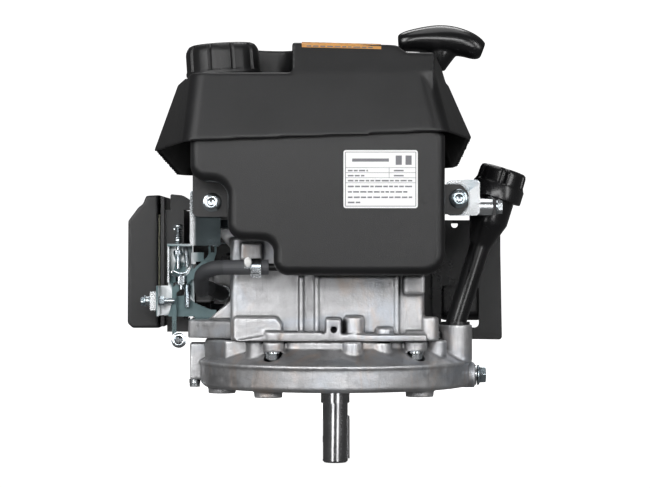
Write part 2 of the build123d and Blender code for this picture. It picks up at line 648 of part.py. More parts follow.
def valve_spring(z):
    """Valve spring drawn as closed rings, short enough for the valve's full lift."""
    y0 = VALVE_FLOOR_Y + FEATHER
    y1 = ROCKER_Y - LASH - 6 - VALVE_LIFT - FEATHER
    rings = []
    turns = 6
    for i in range(turns):
        y = y0 + SPRING_WIRE + i * (y1 - y0 - 2 * SPRING_WIRE) / (turns - 1)
        rings.append(Pos(VALVE_X, y, z) * Rot(90, 0, 0) * Torus(SPRING_R, SPRING_WIRE))
    spine = rod_y(VALVE_X, z, y0 + SPRING_WIRE, y1 - SPRING_WIRE, SPRING_R + 0.5)
    spine -= rod_y(VALVE_X, z, y0, y1, SPRING_R - 0.5)
    spine &= block(VALVE_X - 12, VALVE_X - SPRING_R + 1.5, y0, y1, z - 2, z + 2)
    body = spine
    for ring in rings:
        body += ring
    return body


def valve_springs():
    """The intake and the exhaust valve's spring."""
    return group([valve_spring(z) for z in VALVE_Z])


def rocker(z):
    """Rocker arm on the rocker shaft."""
    w = 5.0
    body = block(VALVE_X - 3, CAM_X + 3, ROCKER_Y, ROCKER_Y + 7, z - w, z + w)
    body += rod_z(ROCKER_X, ROCKER_Y, z - w, z + w, 9)
    body -= rod_z(ROCKER_X, ROCKER_Y, z - w - 1, z + w + 1, 4 + RUN)
    return body


# ---- cooling and starter --------------------------------------------------------------------
COIL_Y = FLYWHEEL_R + 0.6


def ignition_coil():
    """Ignition coil: laminated core hooked towards the flywheel rim, and its moulded body."""
    z0 = 160.0
    z1 = 172.0
    core = block(-26, 26, 74, 112, z0, z1) - block(-14, 14, 70, 104, z0 - 1, z1 + 1)
    core -= rod_z(0, 0, z0 - 1, z1 + 1, COIL_Y)
    body = soft_box(-13.6, 13.6, 82, 103.6, z0 - 6, COIL_TOP_Z, 3)
    return core + body


def duct_outline(grow, z0, z1):
    """Outline of the cooling shroud: a ring round the fan and a duct over the cylinder."""
    shape = rod_z(0, 0, z0, z1, 81 + grow)
    shape += block(-56 - grow, 62 + grow, 0, 138 + grow, z0, z1)
    return shape


def blower_housing():
    """Sheet metal shroud round the fan that leads air down over the fins."""
    body = duct_outline(1.6, 152, 222) - duct_outline(0, 151, 220.4)
    body -= rod_z(0, 0, 219, 223, 62)
    body += block(-70, -57, 100, 120, 152, 153.6)
    body -= rod_y(PLUG_X, LEAD_Z, 130, 145, 5)
    return body


def recoil_housing():
    """Round housing of the recoil starter with vent slots."""
    shell = turned((0, 222), (76, 222), (76, 254), (66, 264), (0, 264))
    shell -= turned((-0, 221), (73.5, 221), (73.5, 253), (65, 261.5), (0, 261.5))
    for i in range(12):
        shell -= Rot(0, 0, 30 * i + 12) * block(66, 80, -7, 7, 226, 246)
    shell += rod_z(0, 0, 240, 262, 6)
    shell -= block(58, 86, -38, -12, 245, 258)
    return shell


def recoil_pulley():
    """Rope pulley of the recoil starter with the engaging hub below it."""
    body = turned(
        (6 + RUN, 242), (57, 242), (57, 244), (46, 244), (46, 256), (57, 256), (57, 258),
        (6 + RUN, 258),
    )
    body += rod_z(0, 0, 226, 243, 24) - rod_z(0, 0, 225, 245, 18)
    body += rod_z(0, 0, 236, 243, 14)
    body -= rod_z(0, 0, 230, 260, 6 + RUN)
    # wound rope between the pulley's flanges
    for i in range(2):
        body += Pos(0, 0, 247.2 + 5.6 * i) * Torus(49, 2.9)
    return body


ROPE_R = 2.2


def handle_place():
    """Place of the pull handle's neck, leaning with the rope."""
    return Pos(HANDLE_X, HANDLE_Y, HANDLE_Z) * Rot(0, HANDLE_LEAN, 0)


def starter_rope():
    """Rope from the pulley over the guide to the handle."""
    place = handle_place()
    top = (place * Pos(0, 0, 5)).position
    low = (place * Pos(0, 0, -22)).position
    return piped([(51.8, -30, 250), (low.X, low.Y - 6, 252), (low.X, low.Y, low.Z), top], (9, 9), ROPE_R)


def starter_handle():
    """T-shaped pull grip: a curved crossbar, thick at the left and drooping at the right."""
    # centre of each section along the bar and its half height and half depth
    spine = ((55, 306, 5.5, 7), (62, 306.5, 9, 11), (75, 307.8, 11, 13.5), (93, 307.4, 13.4, 14.5),
             (108, 305.8, 12.4, 14), (121, 301.5, 10.6, 12), (129, 298.5, 6.5, 8))
    sections = []
    for i, (x, z, half_h, half_d) in enumerate(spine):
        before = spine[max(i - 1, 0)]
        after = spine[min(i + 1, len(spine) - 1)]
        slope = degrees(atan2(after[1] - before[1], after[0] - before[0]))
        sections.append(Pos(x, HANDLE_Y, z) * Rot(0, 90 - slope, 0) * Ellipse(half_h, half_d))
    bar = loft(sections)
    place = handle_place()
    neck = loft([place * Circle(5.6), place * Pos(0, 0, 7) * Circle(9),
                 place * Pos(0, 0, 20) * Ellipse(16, 11)])
    grip = bar + neck
    grip -= place * rod_z(0, 0, -1, 7, ROPE_R + 0.6)
    return grip


# ---- tank and cover -------------------------------------------------------------------------
COVER_BASE_Z = 193.0
COVER_SHOULDER_Z = 269.5
COVER_RIM_Y = -163.0
COVER_FRONT_Y = -145.0        # front of the hood at its shoulder
POCKET_X = -36.0              # the cap stands in a pocket left of here
POCKET_Y = -52.0
TANK_TOP_Z = 227.0


def cover_block(wall):
    """Cover's outer form, or its inner form when a wall is given."""
    w = wall
    rim = [(-125 + w, COVER_RIM_Y + w), (98 - w, COVER_RIM_Y + w), (133 - w, -5), (115 - w, 112 - w),
           (62 - w / 2, 168 - w), (-86 + w / 2, 168 - w), (-141 + w, 112 - w), (-166 + w, -5)]
    top = [(-118 + w, COVER_FRONT_Y + w), (80 - w, COVER_FRONT_Y + w), (99 - w, -5), (90 - w, 92 - w),
           (45 - w / 2, 140 - w), (-72 + w / 2, 140 - w), (-120 + w, 92 - w), (-138 + w, -5)]
    low = fillet(make_face(Polyline(*rim, close=True)).vertices(), 16)
    high = fillet(make_face(Polyline(*top, close=True)).vertices(), 16)
    z0 = COVER_BASE_Z - (1 if w else 0)
    return loft([Pos(0, 0, z0) * low, Pos(0, 0, COVER_SHOULDER_Z - w) * high], ruled=True)


def cap_place():
    """Place of the fuel cap on its slightly leaning neck."""
    return Pos(CAP_X, CAP_Y, CAP_Z) * Rot(0, -3.6, 0)


def cover_crown(wall):
    """Raised middle of the hood with a pocket for the fuel cap and a step for the handle."""
    w = wall
    z0 = COVER_SHOULDER_Z - 14
    points = [(-113 + w, z0), (-104 + w, 276 - w), (-88 + w, 290 - w), (-68, 295.5 - w), (50 - w, 292.5 - w),
              (57 - w, 286.5 - w), (80 - w, 286 - w), (90 - w, 279 - w), (105 - w, z0)]
    face = make_face(Polyline(*points, close=True))
    upper = [v for v in face.vertices() if v.Y > z0 + 1]
    face = fillet(upper, 4.5)
    body = Pos(0, 112 - w, 0) * Rot(90, 0, 0) * extrude(face, 112 - w - COVER_FRONT_Y - w)
    body -= Pos(0, COVER_FRONT_Y + w, COVER_SHOULDER_Z) * Rot(-15, 0, 0) * block(-200, 200, -60, 0, -100, 100)
    # in plan its right side follows the shoulder below it
    body &= plate_xy([(-200, -200), (80 - w, -200), (80 - w, COVER_FRONT_Y), (99 - w, -5), (90 - w, 92),
                      (90 - w, 200), (-200, 200)], z0 - 1, 400)
    pocket = block(-200, POCKET_X + w, -250, POCKET_Y + w, COVER_SHOULDER_Z - w, 400)
    return body - fillet(pocket.edges().filter_by(Axis.Z).sort_by(Axis.X)[-1:], 16)


def top_cover():
    """Moulded hood over fan, starter and the top of the tank."""
    w = COVER_WALL
    body = cover_block(0) + cover_crown(0)
    body -= cover_block(w)
    body -= cover_crown(w)
    # rim: high in front of the tank, falling towards the rear
    under = plate_yz([(-220, 217.5), (0, 216.5), (100, 196), (220, 194), (220, 150), (-220, 150)], -220, 220)
    body -= Rot(0, -2.2, 0) * under
    body -= cap_place() * rod_z(0, 0, -30, 20, 26)
    body -= cap_place() * rod_z(0, 0, -0.4, 20, CAP_R + 1.5)
    body -= handle_place() * rod_z(0, 0, -30, 8, 5)
    body -= handle_place() * rod_z(0, 0, -0.6, 12, 10)
    for i in range(6):
        body -= block(-24, 36, -78 + 24 * i, -68 + 24 * i, 280, 310)
    return body


def tank_outline(inset):
    """Tank seen from the front: a tall body with a step at the left and a narrower foot."""
    # corners with their rounding
    corners = (((-111, TANK_TOP_Z), 0), ((-119, TANK_TOP_Z - 9), 0), ((-119, 181.5), 13), ((-88.5, 180), 13), ((-88.5, 132.8), 14),
               ((-51, 131.5), 9), ((-51, 103.8), 12), ((89, 103.8), 18), ((89, TANK_TOP_Z - 9), 0),
               ((79, TANK_TOP_Z), 0))
    face = make_face(Polyline(*[corner for corner, _ in corners], close=True))
    for (x, z), radius in corners:
        if radius > 0:
            nearest = face.vertices().sort_by_distance(Vector(x, z, 0))[0]
            face = fillet([nearest], radius)
    if inset > 0:
        face = offset(face, -inset)
    return face


def fuel_tank():
    """Moulded fuel tank with neck, hose nipple and two fixing ears."""
    depth = TANK_BACK_Y - TANK_FRONT_Y
    w = TANK_WALL
    body = Pos(0, TANK_BACK_Y, 0) * Rot(90, 0, 0) * extrude(tank_outline(0), depth)
    front = body.faces().sort_by(Axis.Y)[0]
    body = fillet(front.edges(), 8)
    body += soft_box(-108, 76, -138, -90, 190, 238, 6)
    body += cap_place() * rod_z(0, 0, -46, 16, 21)
    body += plate_xz([(-119, 152), (-86, 152), (-80, 192), (-119, 192)], -112, -108, 5)
    body += plate_xz([(80, 154), (104, 154), (110, 161), (110, 172), (104, 179), (80, 179)], -112, -108, 3)
    body += rod_x(-105, 110, -66, -45, 3.2)
    inner = Pos(0, TANK_BACK_Y - w, 0) * Rot(90, 0, 0) * extrude(tank_outline(w), depth - 2 * w)
    body -= inner
    body -= block(-105, 73, -135, -93, 195, 235)
    body -= cap_place() * rod_z(0, 0, -46, 17, 18)
    body -= rod_x(-105, 110, -67, -42, 1.6)
    for x, z in TANK_BOLTS:
        body -= rod_y(x, z, -113, -107, 3.3)
    return body


TANK_BOLTS = ((-103.0, 164.0), (102.0, 167.0))


def tank_brackets():
    """Two plated brackets that carry the tank on the upper casting."""
    left = plate_xz([(-121.5, 128), (-96, 128), (-96, 168), (-106, 171), (-121.5, 174)], -107.8, -105.8, 1.5)
    left += block(-121.5, -119.5, -107.8, -60, 130, 172)
    left += block(-121.5, -80, -62, -60, 136, 150) + block(-89, -72, -62, -42, CASE_TOP_Z, 136)
    left += block(-89, -80, -62, -60, CASE_TOP_Z, 150)
    right = plate_xz([(92, 153), (120, 153), (120, 183), (92, 183)], -107.8, -105.8, 4)
    right += block(118, 120, -107.8, -60, 156, 180)
    right += block(78, 120, -62, -60, 156, 168) + block(78, 84, -62, -60, CASE_TOP_Z, 168)
    right += block(66, 84, -62, -42, CASE_TOP_Z, 136)
    for x, z in TANK_BOLTS:
        left -= rod_y(x, z, -110, -104, 3.3)
        right -= rod_y(x, z, -110, -104, 3.3)
    return group([left, right])


def tank_bolts():
    """Flange bolts through the tank's ears."""
    bolts = []
    for x, z in TANK_BOLTS:
        bolt = rod_y(x, z, -112, -100, 3.0)
        bolt += rod_y(x, z, -113.6, -112, 6.5)
        bolt += hexagon_y(x, z, -119, -113.6, 8.6)
        bolts.append(bolt)
    return group(bolts)


def rating_plate():
    """Thin white plate on the tank front."""
    return plate_xz([(6, 158.6), (66.5, 158.6), (66.5, 205.8), (6, 205.8)],
                    TANK_FRONT_Y - 0.4, TANK_FRONT_Y, 2)


def fuel_cap():
    """Ribbed screw cap."""
    body = rod_z(0, 0, 0, CAP_H, CAP_R - 1.2)
    body = fillet(body.faces().sort_by(Axis.Z)[-1].edges(), 3.5)
    body += rod_z(0, 0, 0, 5, CAP_R)
    for i in range(14):
        body += Rot(0, 0, 360 * i / 14) * Pos(CAP_R - 1.2, 0, 11.5) * Box(1.8, 7, 21)
    body -= rod_z(0, 0, -1, 20, 23)
    return cap_place() * body


def fuel_cap_seal():
    """Seal between the tank neck and the cap."""
    seal = rod_z(0, 0, 16.05, 19.9, 21) - rod_z(0, 0, 15, 21, 14)
    seal += rod_z(0, 0, 17, 19.9, 15)
    return cap_place() * seal


# ---- oil filler -----------------------------------------------------------------------------
TUBE_BOLT_Y = -56.0
TUBE_BOLT_Z = 161.0


def tube_place():
    """Place of the upper part of the filler tube."""
    return Pos(*TUBE_FOOT) * Rot(0, TUBE_LEAN, 0)


def oil_filler_tube():
    """Leaning oil filler tube with its widened mouth."""
    place = tube_place()
    mouth = (place * Pos(0, 0, 80)).position
    foot = (TUBE_FOOT[0], TUBE_FOOT[1], 31)
    path = [foot, TUBE_FOOT, mouth]
    body = piped(path, 26, TUBE_R)
    body += place * turned((0, 70), (TUBE_R, 70), (17, 94), (17, 113), (0, 113))
    # ring on the boss and lug for the fixing bolt
    body += rod_z(TUBE_FOOT[0], TUBE_FOOT[1], FILLER_BOSS_TOP_Z, FILLER_BOSS_TOP_Z + 2.4, 12.5)
    body += block(134, 137, TUBE_BOLT_Y - 7, -40, TUBE_BOLT_Z - 7, TUBE_BOLT_Z + 6)
    body -= piped(path, 26, TUBE_R - 1.8)
    body -= place * turned((0, 66), (TUBE_R - 1.8, 66), (TUBE_R - 1.8, 72), (15, 96), (15, 114), (0, 114))
    body -= rod_x(TUBE_BOLT_Y, TUBE_BOLT_Z, 133, 138, 3.2)
    return body


def oil_tube_bolt():
    """Bolt, spacer and nut that hold the filler tube to the bracket."""
    y = TUBE_BOLT_Y
    z = TUBE_BOLT_Z
    spacer = rod_x(y, z, 120.2, 134, 7.5) - rod_x(y, z, 119, 136, 3.2)
    bolt = rod_x(y, z, 110, 137.2, 3) + hexagon_x(y, z, 138.4, 142.5, 10)
    bolt += rod_x(y, z, 137, 138.4, 6.5)
    return group([spacer, bolt])


def oil_cap():
    """Grip cap of the oil filler."""
    body = turned((0, 114), (22.5, 114), (22.5, 126), (20.5, 128), (19, 139), (17, 141), (0, 141))
    for i in range(8):
        body += Rot(0, 0, 45 * i) * Pos(20.6, 0, 133.5) * Box(2.4, 6, 11)
    body -= rod_z(0, 0, 113, 124, 17.6)
    return tube_place() * body


def oil_dipstick():
    """Dipstick with its seal disc."""
    body = rod_z(0, 0, -4, 120, 1.8)
    body += rod_z(0, 0, 118, 122, 14)
    body += rod_z(0, 0, 113.1, 119, 16.5)
    return tube_place() * body


# ---- intake side ----------------------------------------------------------------------------
BOX_Y0 = 20.0
BOX_Y1 = 160.0
CARB_Y = 125.0
CARB_Z = 92.0
THROTTLE_X = -88.0


def cleaner_profile(inset):
    """Air cleaner cover seen from the front."""
    w = inset
    return [(-155, 54.7 + w), (-180 + w, 54.7 + w), (-184.6 + w, 59), (-184 + w, 150),
            (-175 + w, 162 - w / 2), (-171 + w, 165 - w), (-168 + w, 172.5 - w), (-155, 173 - w)]


def air_cleaner_cover():
    """Moulded air cleaner cover."""
    w = 2.4
    body = plate_xz(cleaner_profile(0), BOX_Y0, BOX_Y1)
    body = fillet(body.edges().filter_by(Axis.Z).sort_by(Axis.X)[:2], 5)
    inner = plate_xz(cleaner_profile(w), BOX_Y0 + w, BOX_Y1 - w)
    inner += block(-156, -154, BOX_Y0 + w, BOX_Y1 - w, 54.7 + w, 173 - w)
    body -= inner
    for i in range(5):
        y = BOX_Y0 + 22 + 24 * i
        body += block(-185.6, -183, y - 1.5, y + 1.5, 66, 142)
    return body


def air_filter():
    """Pleated paper filter with its frame."""
    body = block(-172, -156.5, 32, 148, 66, 156)
    for i in range(14):
        body -= block(-173, -160, 36 + 8 * i, 40 + 8 * i, 70, 152)
    return body


def air_cleaner_base():
    """Base of the air cleaner with the duct to the carburettor."""
    body = block(-155, -152, BOX_Y0 + 2, BOX_Y1 - 2, 56, 171)
    body += block(-153, -135, BOX_Y0 + 8, BOX_Y1 - 8, 62, 160)
    body += plate_xz([(-147, 160), (-129, 160), (-129, 168), (-137, 173), (-147, 174)], BOX_Y0 + 8, BOX_Y0 + 46, 1.5)
    body += block(-150, -131, BOX_Y0 + 10, BOX_Y0 + 40, 51, 63)
    body -= block(-156, -138, BOX_Y0 + 12, BOX_Y1 - 12, 66, 156)
    body -= rod_x(CARB_Y, CARB_Z, -140, -130, 14)
    body += rod_x(CARB_Y, CARB_Z, -136, -129, 19) - rod_x(CARB_Y, CARB_Z, -140, -128, 14)
    return body


def carburettor():
    """Carburettor body with its throat, shaft bore and fuel inlet."""
    body = rod_x(CARB_Y, CARB_Z, -129, -77, 17)
    body += block(-112, -80, CARB_Y - 19, CARB_Y + 19, CARB_Z - 18, CARB_Z + 16)
    body += plate_yz([(CARB_Y - 28, 75), (CARB_Y + 28, 75), (CARB_Y + 28, 109), (CARB_Y - 28, 109)], -79, -76, 8)
    body += rod_z(THROTTLE_X, CARB_Y, CARB_Z + 15, CARB_Z + 24, 6)
    body += rod_y(-104, 84, 94, CARB_Y - 18, 3.2)
    body -= rod_x(CARB_Y, CARB_Z, -130, -75, 12)
    body -= rod_z(THROTTLE_X, CARB_Y, CARB_Z - 16, CARB_Z + 30, 3 + RUN)
    body -= rod_y(-104, 84, 93, CARB_Y - 8, 1.6)
    return body


def float_bowl():
    """Float bowl with its drain screw."""
    z = CARB_Z - 18
    body = turned((0, z - 24), (14, z - 24), (19, z - 19), (19.4, z), (0, z))
    body -= turned((0, z - 22.5), (13, z - 22.5), (17.6, z - 18), (17.8, z + 1), (0, z + 1))
    body += hexagon_z(0, 0, z - 29, z - 23, 10)
    return Pos(-97, CARB_Y, 0) * body


def intake_spacer():
    """Insulating spacer between the head and the carburettor, with an air guide behind them."""
    body = loft([
        Pos(-76, 125, 92) * Rot(0, 90, 0) * RectangleRounded(34, 50, 8),
        Pos(-54, 146, 86) * Rot(0, 90, 0) * RectangleRounded(34, 28, 8),
    ])
    body += block(-134, -56, 154.5, 156.5, 60, 160)
    body -= loft([
        Pos(-77, 124, 92) * Rot(0, 90, 0) * Circle(11),
        Pos(-53, 148, 82) * Rot(0, 90, 0) * Circle(6),
    ])
    return body


def throttle_shaft():
    """Throttle shaft with its butterfly and its slotted lever."""
    body = rod_z(THROTTLE_X, CARB_Y, CARB_Z - 13, LEVER_Z + 3, 3)
    disc = Pos(THROTTLE_X, CARB_Y, CARB_Z) * Rot(0, 90, 0) * Cylinder(12 - RUN, 1.2)
    body += disc
    lever = block(-4.5, 4.5, -16, 5, LEVER_Z, LEVER_Z + 2)
    lever = lever + rod_z(0, 0, LEVER_Z, LEVER_Z + 2, 6)
    lever -= block(-1.6, 1.6, -14, -6.5, LEVER_Z - 1, LEVER_Z + 3)
    body += Pos(THROTTLE_X, CARB_Y, 0) * Rot(0, 0, -35) * lever
    return body


LEVER_Z = 119.0
LINK_OFFSET = 8.0
ARM_PIVOT_X = -136.0
ARM_PIVOT_Z = 46.0
ARM_HOLE = (-107.0, 130.0)
LINK_R = 0.9


def governor_arm():
    """Bent governor arm with its clamp nut at the pivot."""
    y0 = -19.0
    y1 = -17.0
    w = 2.6
    body = plate_xz([(-141 - w / 2, 44), (-141 + w, 44), (-141 + w, 87), (-109 + w, 113), (-107 + 3.4, 122),
                     (-107 + 3.4, 142), (-107 - 3.4, 142), (-107 - 3.4, 121), (-112, 118), (-141 - w / 2, 91)],
                    y0, y1)
    body += rod_y(ARM_PIVOT_X, ARM_PIVOT_Z, y0 - 3, y1, 6.5)
    body += hexagon_y(ARM_PIVOT_X, ARM_PIVOT_Z, y0 - 9, y0 - 3, 10)
    body += rod_y(ARM_PIVOT_X, ARM_PIVOT_Z, y1 - 1, 6, 4)
    body -= block(ARM_HOLE[0] - 1.7, ARM_HOLE[0] + 1.7, y0 - 1, y1 + 1, ARM_HOLE[1] - 8, ARM_HOLE[1] + 6)
    return body


def governor_link():
    """Wire from the governor arm to the throttle lever."""
    end_x = THROTTLE_X - LINK_OFFSET * tan(radians(35))
    end_y = CARB_Y - LINK_OFFSET
    points = [(ARM_HOLE[0], -21.5, ARM_HOLE[1]), (ARM_HOLE[0], 84, ARM_HOLE[1]),
              (end_x, end_y, ARM_HOLE[1]), (end_x, end_y, LEVER_Z - 1.5)]
    return piped(points, (8, 3), LINK_R)


CLAMP_Y = -25.0
CLAMP_Z = 80.0


def control_bracket():
    """Plated speed control bracket on the wing of the upper casting."""
    wing = CASE_Z + 16
    body = plate_xz([(-146, 66), (-104, 66), (-104, 70), (-123, 78), (-125, 129), (-146, 129)], -12, -10, 1)
    body += block(-146, -124, -26, -10, 127.5, 129.5)
    body += block(-123, -104, -12, 8, wing, wing + 2) + block(-123, -104, -12, -10, wing, 72)
    body += block(-146, -144.5, -24, -10, 96, 129)
    body -= plate_xz([(-142, 84), (-132, 84), (-132, 96), (-142, 96)], -14, -8, 2)
    body -= rod_z(-137, -18, 126, 131, 2.2)
    body -= rod_y(-137, 112, -14, -8, 3 + RUN)
    body += block(-155, -153.5, -34, -10, 67, 93) + block(-155, -144, -12, -10, 67, 93)
    body -= rod_x(CLAMP_Y, CLAMP_Z, -158, -150, 2.7)
    body += block(-124, -115, -14, -12, 114, 122) + block(-126, -122, -14, -11, 112, 122)
    return body


def cable_clamp():
    """Cable clamp with its screw and nut."""
    clamp = block(-160.6, -159, CLAMP_Y - 8, CLAMP_Y + 8, 72, 88)
    clamp += block(-160.6, -155, CLAMP_Y - 8, CLAMP_Y - 6.4, 72, 88)
    clamp += block(-160.6, -155, CLAMP_Y + 6.4, CLAMP_Y + 8, 72, 88)
    clamp -= rod_x(CLAMP_Y, CLAMP_Z, -170, -130, 2.7)
    screw = rod_x(CLAMP_Y, CLAMP_Z, -164, -140, 2.5)
    screw += rod_x(CLAMP_Y, CLAMP_Z, -164.6, -160.8, 4.2) + hexagon_x(CLAMP_Y, CLAMP_Z, -153.4, -148.5, 7)
    return group([clamp, screw])


def speed_screw():
    """Speed limit screw with its spring, standing in the bracket's top flange."""
    body = rod_z(-137, -18, 108, 143, 2.0)
    body += rod_z(-137, -18, 143, 146.5, 4.4) + hexagon_z(-137, -18, 120, 124, 7)
    spring = coil(-137, -18, 129.7, 142.8, 3.0, 0.55, 8)
    return group([body] + spring)


def control_lever():
    """Speed control lever on a pin in the bracket."""
    body = plate_xz([(-143, 104), (-131, 104), (-128, 118), (-133, 122), (-143, 120)], -9.6, -8, 2)
    body += rod_y(-137, 112, -16, -8, 3)
    body += rod_y(-130, 107, -8.5, 2, 1.6)
    return body


def fuel_hose():
    """Fuel hose from the tank's nipple round the casting to the carburettor."""
    path = [HOSE_START, (-112, -105, 110), (-114, -66, 90), (-114, 56, 90),
            (-104, 76, 84), (-104, 105, 84)]
    bends = (20, 20, 24, 24)
    return piped(path, bends, HOSE_R) - piped(path, bends, 3.3)


HOSE_R = 6.25
CLIP_R = 7.6
HOSE_START = (-56.0, -105.0, 110.0)


def hose_clips():
    """Spring band clips at both ends of the hose."""
    x = HOSE_START[0] - 11
    y = HOSE_START[1]
    z = HOSE_START[2]
    near = rod_x(y, z, x - 4.5, x + 4.5, CLIP_R) - rod_x(y, z, x - 5, x + 5, HOSE_R + 0.06)
    near += block(x - 9, x - 3, y - CLIP_R - 0.4, y - CLIP_R + 0.9, z - 1, z + 7.5)
    loop = block(x - 3.4, x + 5, y - CLIP_R - 0.4, y - CLIP_R + 0.9, z - 8.5, z - 0.5)
    loop -= block(x - 1.8, x + 3.4, y - CLIP_R - 1, y - CLIP_R + 2, z - 7, z - 4.6)
    near += loop
    far = rod_y(-104, 84, 96, 101, CLIP_R) - rod_y(-104, 84, 95, 102, HOSE_R + 0.06)
    return group([near, far])


# ---- exhaust side ---------------------------------------------------------------------------
def muffler():
    """Two pressed shells and the pipe from the exhaust port."""
    body = soft_box(92, 138, 62, 168, 60, 140, 9)
    body -= soft_box(94, 136, 64, 166, 62, 138, 7)
    body += plate_xy([(90, 60), (140, 60), (140, 170), (90, 170)], 99, 101)
    body += rod_x(HEAD_Y + 13, VALVE_Z[1], 62, 93, 9) - rod_x(HEAD_Y + 13, VALVE_Z[1], 61, 95, 6.5)
    body += rod_y(125, 75, 164, 180, 8) - rod_y(125, 75, 160, 181, 6.5)
    return body


def muffler_guard():
    """Black sheet guard round the muffler with louvres and a lower window."""
    body = plate_xz([(88, 44), (151, 43), (149, 151), (88, 151)], 54, 55.5, 3)
    window = plate_xz([(96, 54), (130, 54), (130, 92), (96, 92)], 50, 58, 4)
    body -= window
    side = block(147.5, 149.5, 54, 176, 46, 150)
    for i in range(6):
        side -= block(146, 152, 70 + 16 * i, 78 + 16 * i, 60, 136)
    top = block(90, 149, 54, 176, 149, 151)
    body = body + side + top
    body += block(88, 90, 54, 70, 100, 151) + block(63, 90, 66, 68, 120, 146)
    body += block(72, 89, 66, 68, 56, 121)
    body -= rod_y(108, 147, 50, 58, 3)
    return body


PARTS = {
    "sump": sump,
    "drain_plug": drain_plug,
    "crank_seals": crank_seals,
    "case_gasket": case_gasket,
    "crankcase": crankcase,
    "case_bolts": case_bolts,
    "cylinder_head": cylinder_head,
    "rocker_cover": rocker_cover,
    "spark_plug": spark_plug,
    "plug_lead": plug_lead,
    "crankshaft": crankshaft,
    "shaft_key": shaft_key,
    "flywheel": flywheel,
    "starter_cup": starter_cup,
    "conrod": conrod,
    "wrist_pin": wrist_pin,
    "piston": piston,
    "piston_rings": piston_rings,
    "camshaft": camshaft,
    "intake_pushrod": lambda: pushrod(VALVE_Z[0]),
    "exhaust_pushrod": lambda: pushrod(VALVE_Z[1]),
    "intake_valve": lambda: valve(VALVE_Z[0], 12.0),
    "exhaust_valve": lambda: valve(VALVE_Z[1], 11.0),
    "valve_springs": valve_springs,
    "intake_rocker": lambda: rocker(VALVE_Z[0]),
    "exhaust_rocker": lambda: rocker(VALVE_Z[1]),
    "ignition_coil": ignition_coil,
    "blower_housing": blower_housing,
    "recoil_housing": recoil_housing,
    "recoil_pulley": recoil_pulley,
    "starter_rope": starter_rope,
    "starter_handle": starter_handle,
    "top_cover": top_cover,
    "fuel_tank": fuel_tank,
    "tank_brackets": tank_brackets,
    "tank_bolts": tank_bolts,
    "rating_plate": rating_plate,
    "fuel_cap": fuel_cap,
    "fuel_cap_seal": fuel_cap_seal,
    "oil_filler_tube": oil_filler_tube,
    "oil_tube_bolt": oil_tube_bolt,
    "oil_cap": oil_cap,
    "oil_dipstick": oil_dipstick,
    "air_cleaner_cover": air_cleaner_cover,
    "air_filter": air_filter,
    "air_cleaner_base": air_cleaner_base,
    "carburettor": carburettor,
    "float_bowl": float_bowl,
    "intake_spacer": intake_spacer,
    "throttle_shaft": throttle_shaft,
    "governor_arm": governor_arm,
    "governor_link": governor_link,
    "control_bracket": control_bracket,
    "control_lever": control_lever,
    "cable_clamp": cable_clamp,
    "speed_screw": speed_screw,
    "fuel_hose": fuel_hose,
    "hose_clips": hose_clips,
    "muffler": muffler,
    "muffler_guard": muffler_guard,
}

os.makedirs("parts", exist_ok=True)
for name, make in PARTS.items():
    export_step(make(), f"parts/{name}.step")
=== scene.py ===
import json
import math
import random

import bmesh
import bpy
from mathutils import Matrix, Vector


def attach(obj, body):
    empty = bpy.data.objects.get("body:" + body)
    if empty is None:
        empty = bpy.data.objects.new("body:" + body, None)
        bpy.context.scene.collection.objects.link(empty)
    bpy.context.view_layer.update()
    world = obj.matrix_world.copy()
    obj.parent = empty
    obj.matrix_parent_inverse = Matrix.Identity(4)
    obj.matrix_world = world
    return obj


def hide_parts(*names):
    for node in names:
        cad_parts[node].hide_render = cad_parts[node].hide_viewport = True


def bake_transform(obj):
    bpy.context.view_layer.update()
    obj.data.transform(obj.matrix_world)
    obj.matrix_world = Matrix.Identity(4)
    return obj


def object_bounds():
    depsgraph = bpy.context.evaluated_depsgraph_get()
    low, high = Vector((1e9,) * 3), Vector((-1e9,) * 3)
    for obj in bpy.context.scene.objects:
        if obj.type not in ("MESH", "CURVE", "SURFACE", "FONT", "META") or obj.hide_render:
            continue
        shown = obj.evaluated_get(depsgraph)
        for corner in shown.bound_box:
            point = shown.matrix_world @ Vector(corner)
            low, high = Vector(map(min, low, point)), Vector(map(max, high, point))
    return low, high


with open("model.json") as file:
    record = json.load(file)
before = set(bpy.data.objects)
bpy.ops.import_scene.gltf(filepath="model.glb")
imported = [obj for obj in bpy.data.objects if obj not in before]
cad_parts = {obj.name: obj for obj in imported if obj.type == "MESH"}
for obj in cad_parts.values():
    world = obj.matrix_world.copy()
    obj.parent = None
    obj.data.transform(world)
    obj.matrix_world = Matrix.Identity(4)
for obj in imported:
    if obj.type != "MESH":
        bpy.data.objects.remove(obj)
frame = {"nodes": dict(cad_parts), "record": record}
cad_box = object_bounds()
nodes = frame["nodes"]
MM = 0.001


# ---- materials ------------------------------------------------------------------------------
def new_material(name):
    """Empty node material with a principled shader: (material, nodes, links, shader)."""
    m = bpy.data.materials.new(name)
    m.use_nodes = True
    tree = m.node_tree
    shader = tree.nodes["Principled BSDF"]
    return m, tree.nodes, tree.links, shader


def coords(nds, lks, scale=(1, 1, 1)):
    """Object coordinates in metres, stretched by scale."""
    tc = nds.new("ShaderNodeTexCoord")
    mp = nds.new("ShaderNodeMapping")
    mp.inputs["Scale"].default_value = scale
    lks.new(tc.outputs["Object"], mp.inputs["Vector"])
    return mp.outputs["Vector"]


def noise_tex(nds, lks, vec, scale, detail=4.0, rough=0.55, distort=0.0):
    """Noise texture's factor socket."""
    n = nds.new("ShaderNodeTexNoise")
    n.inputs["Scale"].default_value = scale
    n.inputs["Detail"].default_value = detail
    n.inputs["Roughness"].default_value = rough
    n.inputs["Distortion"].default_value = distort
    lks.new(vec, n.inputs["Vector"])
    return n.outputs["Fac"]


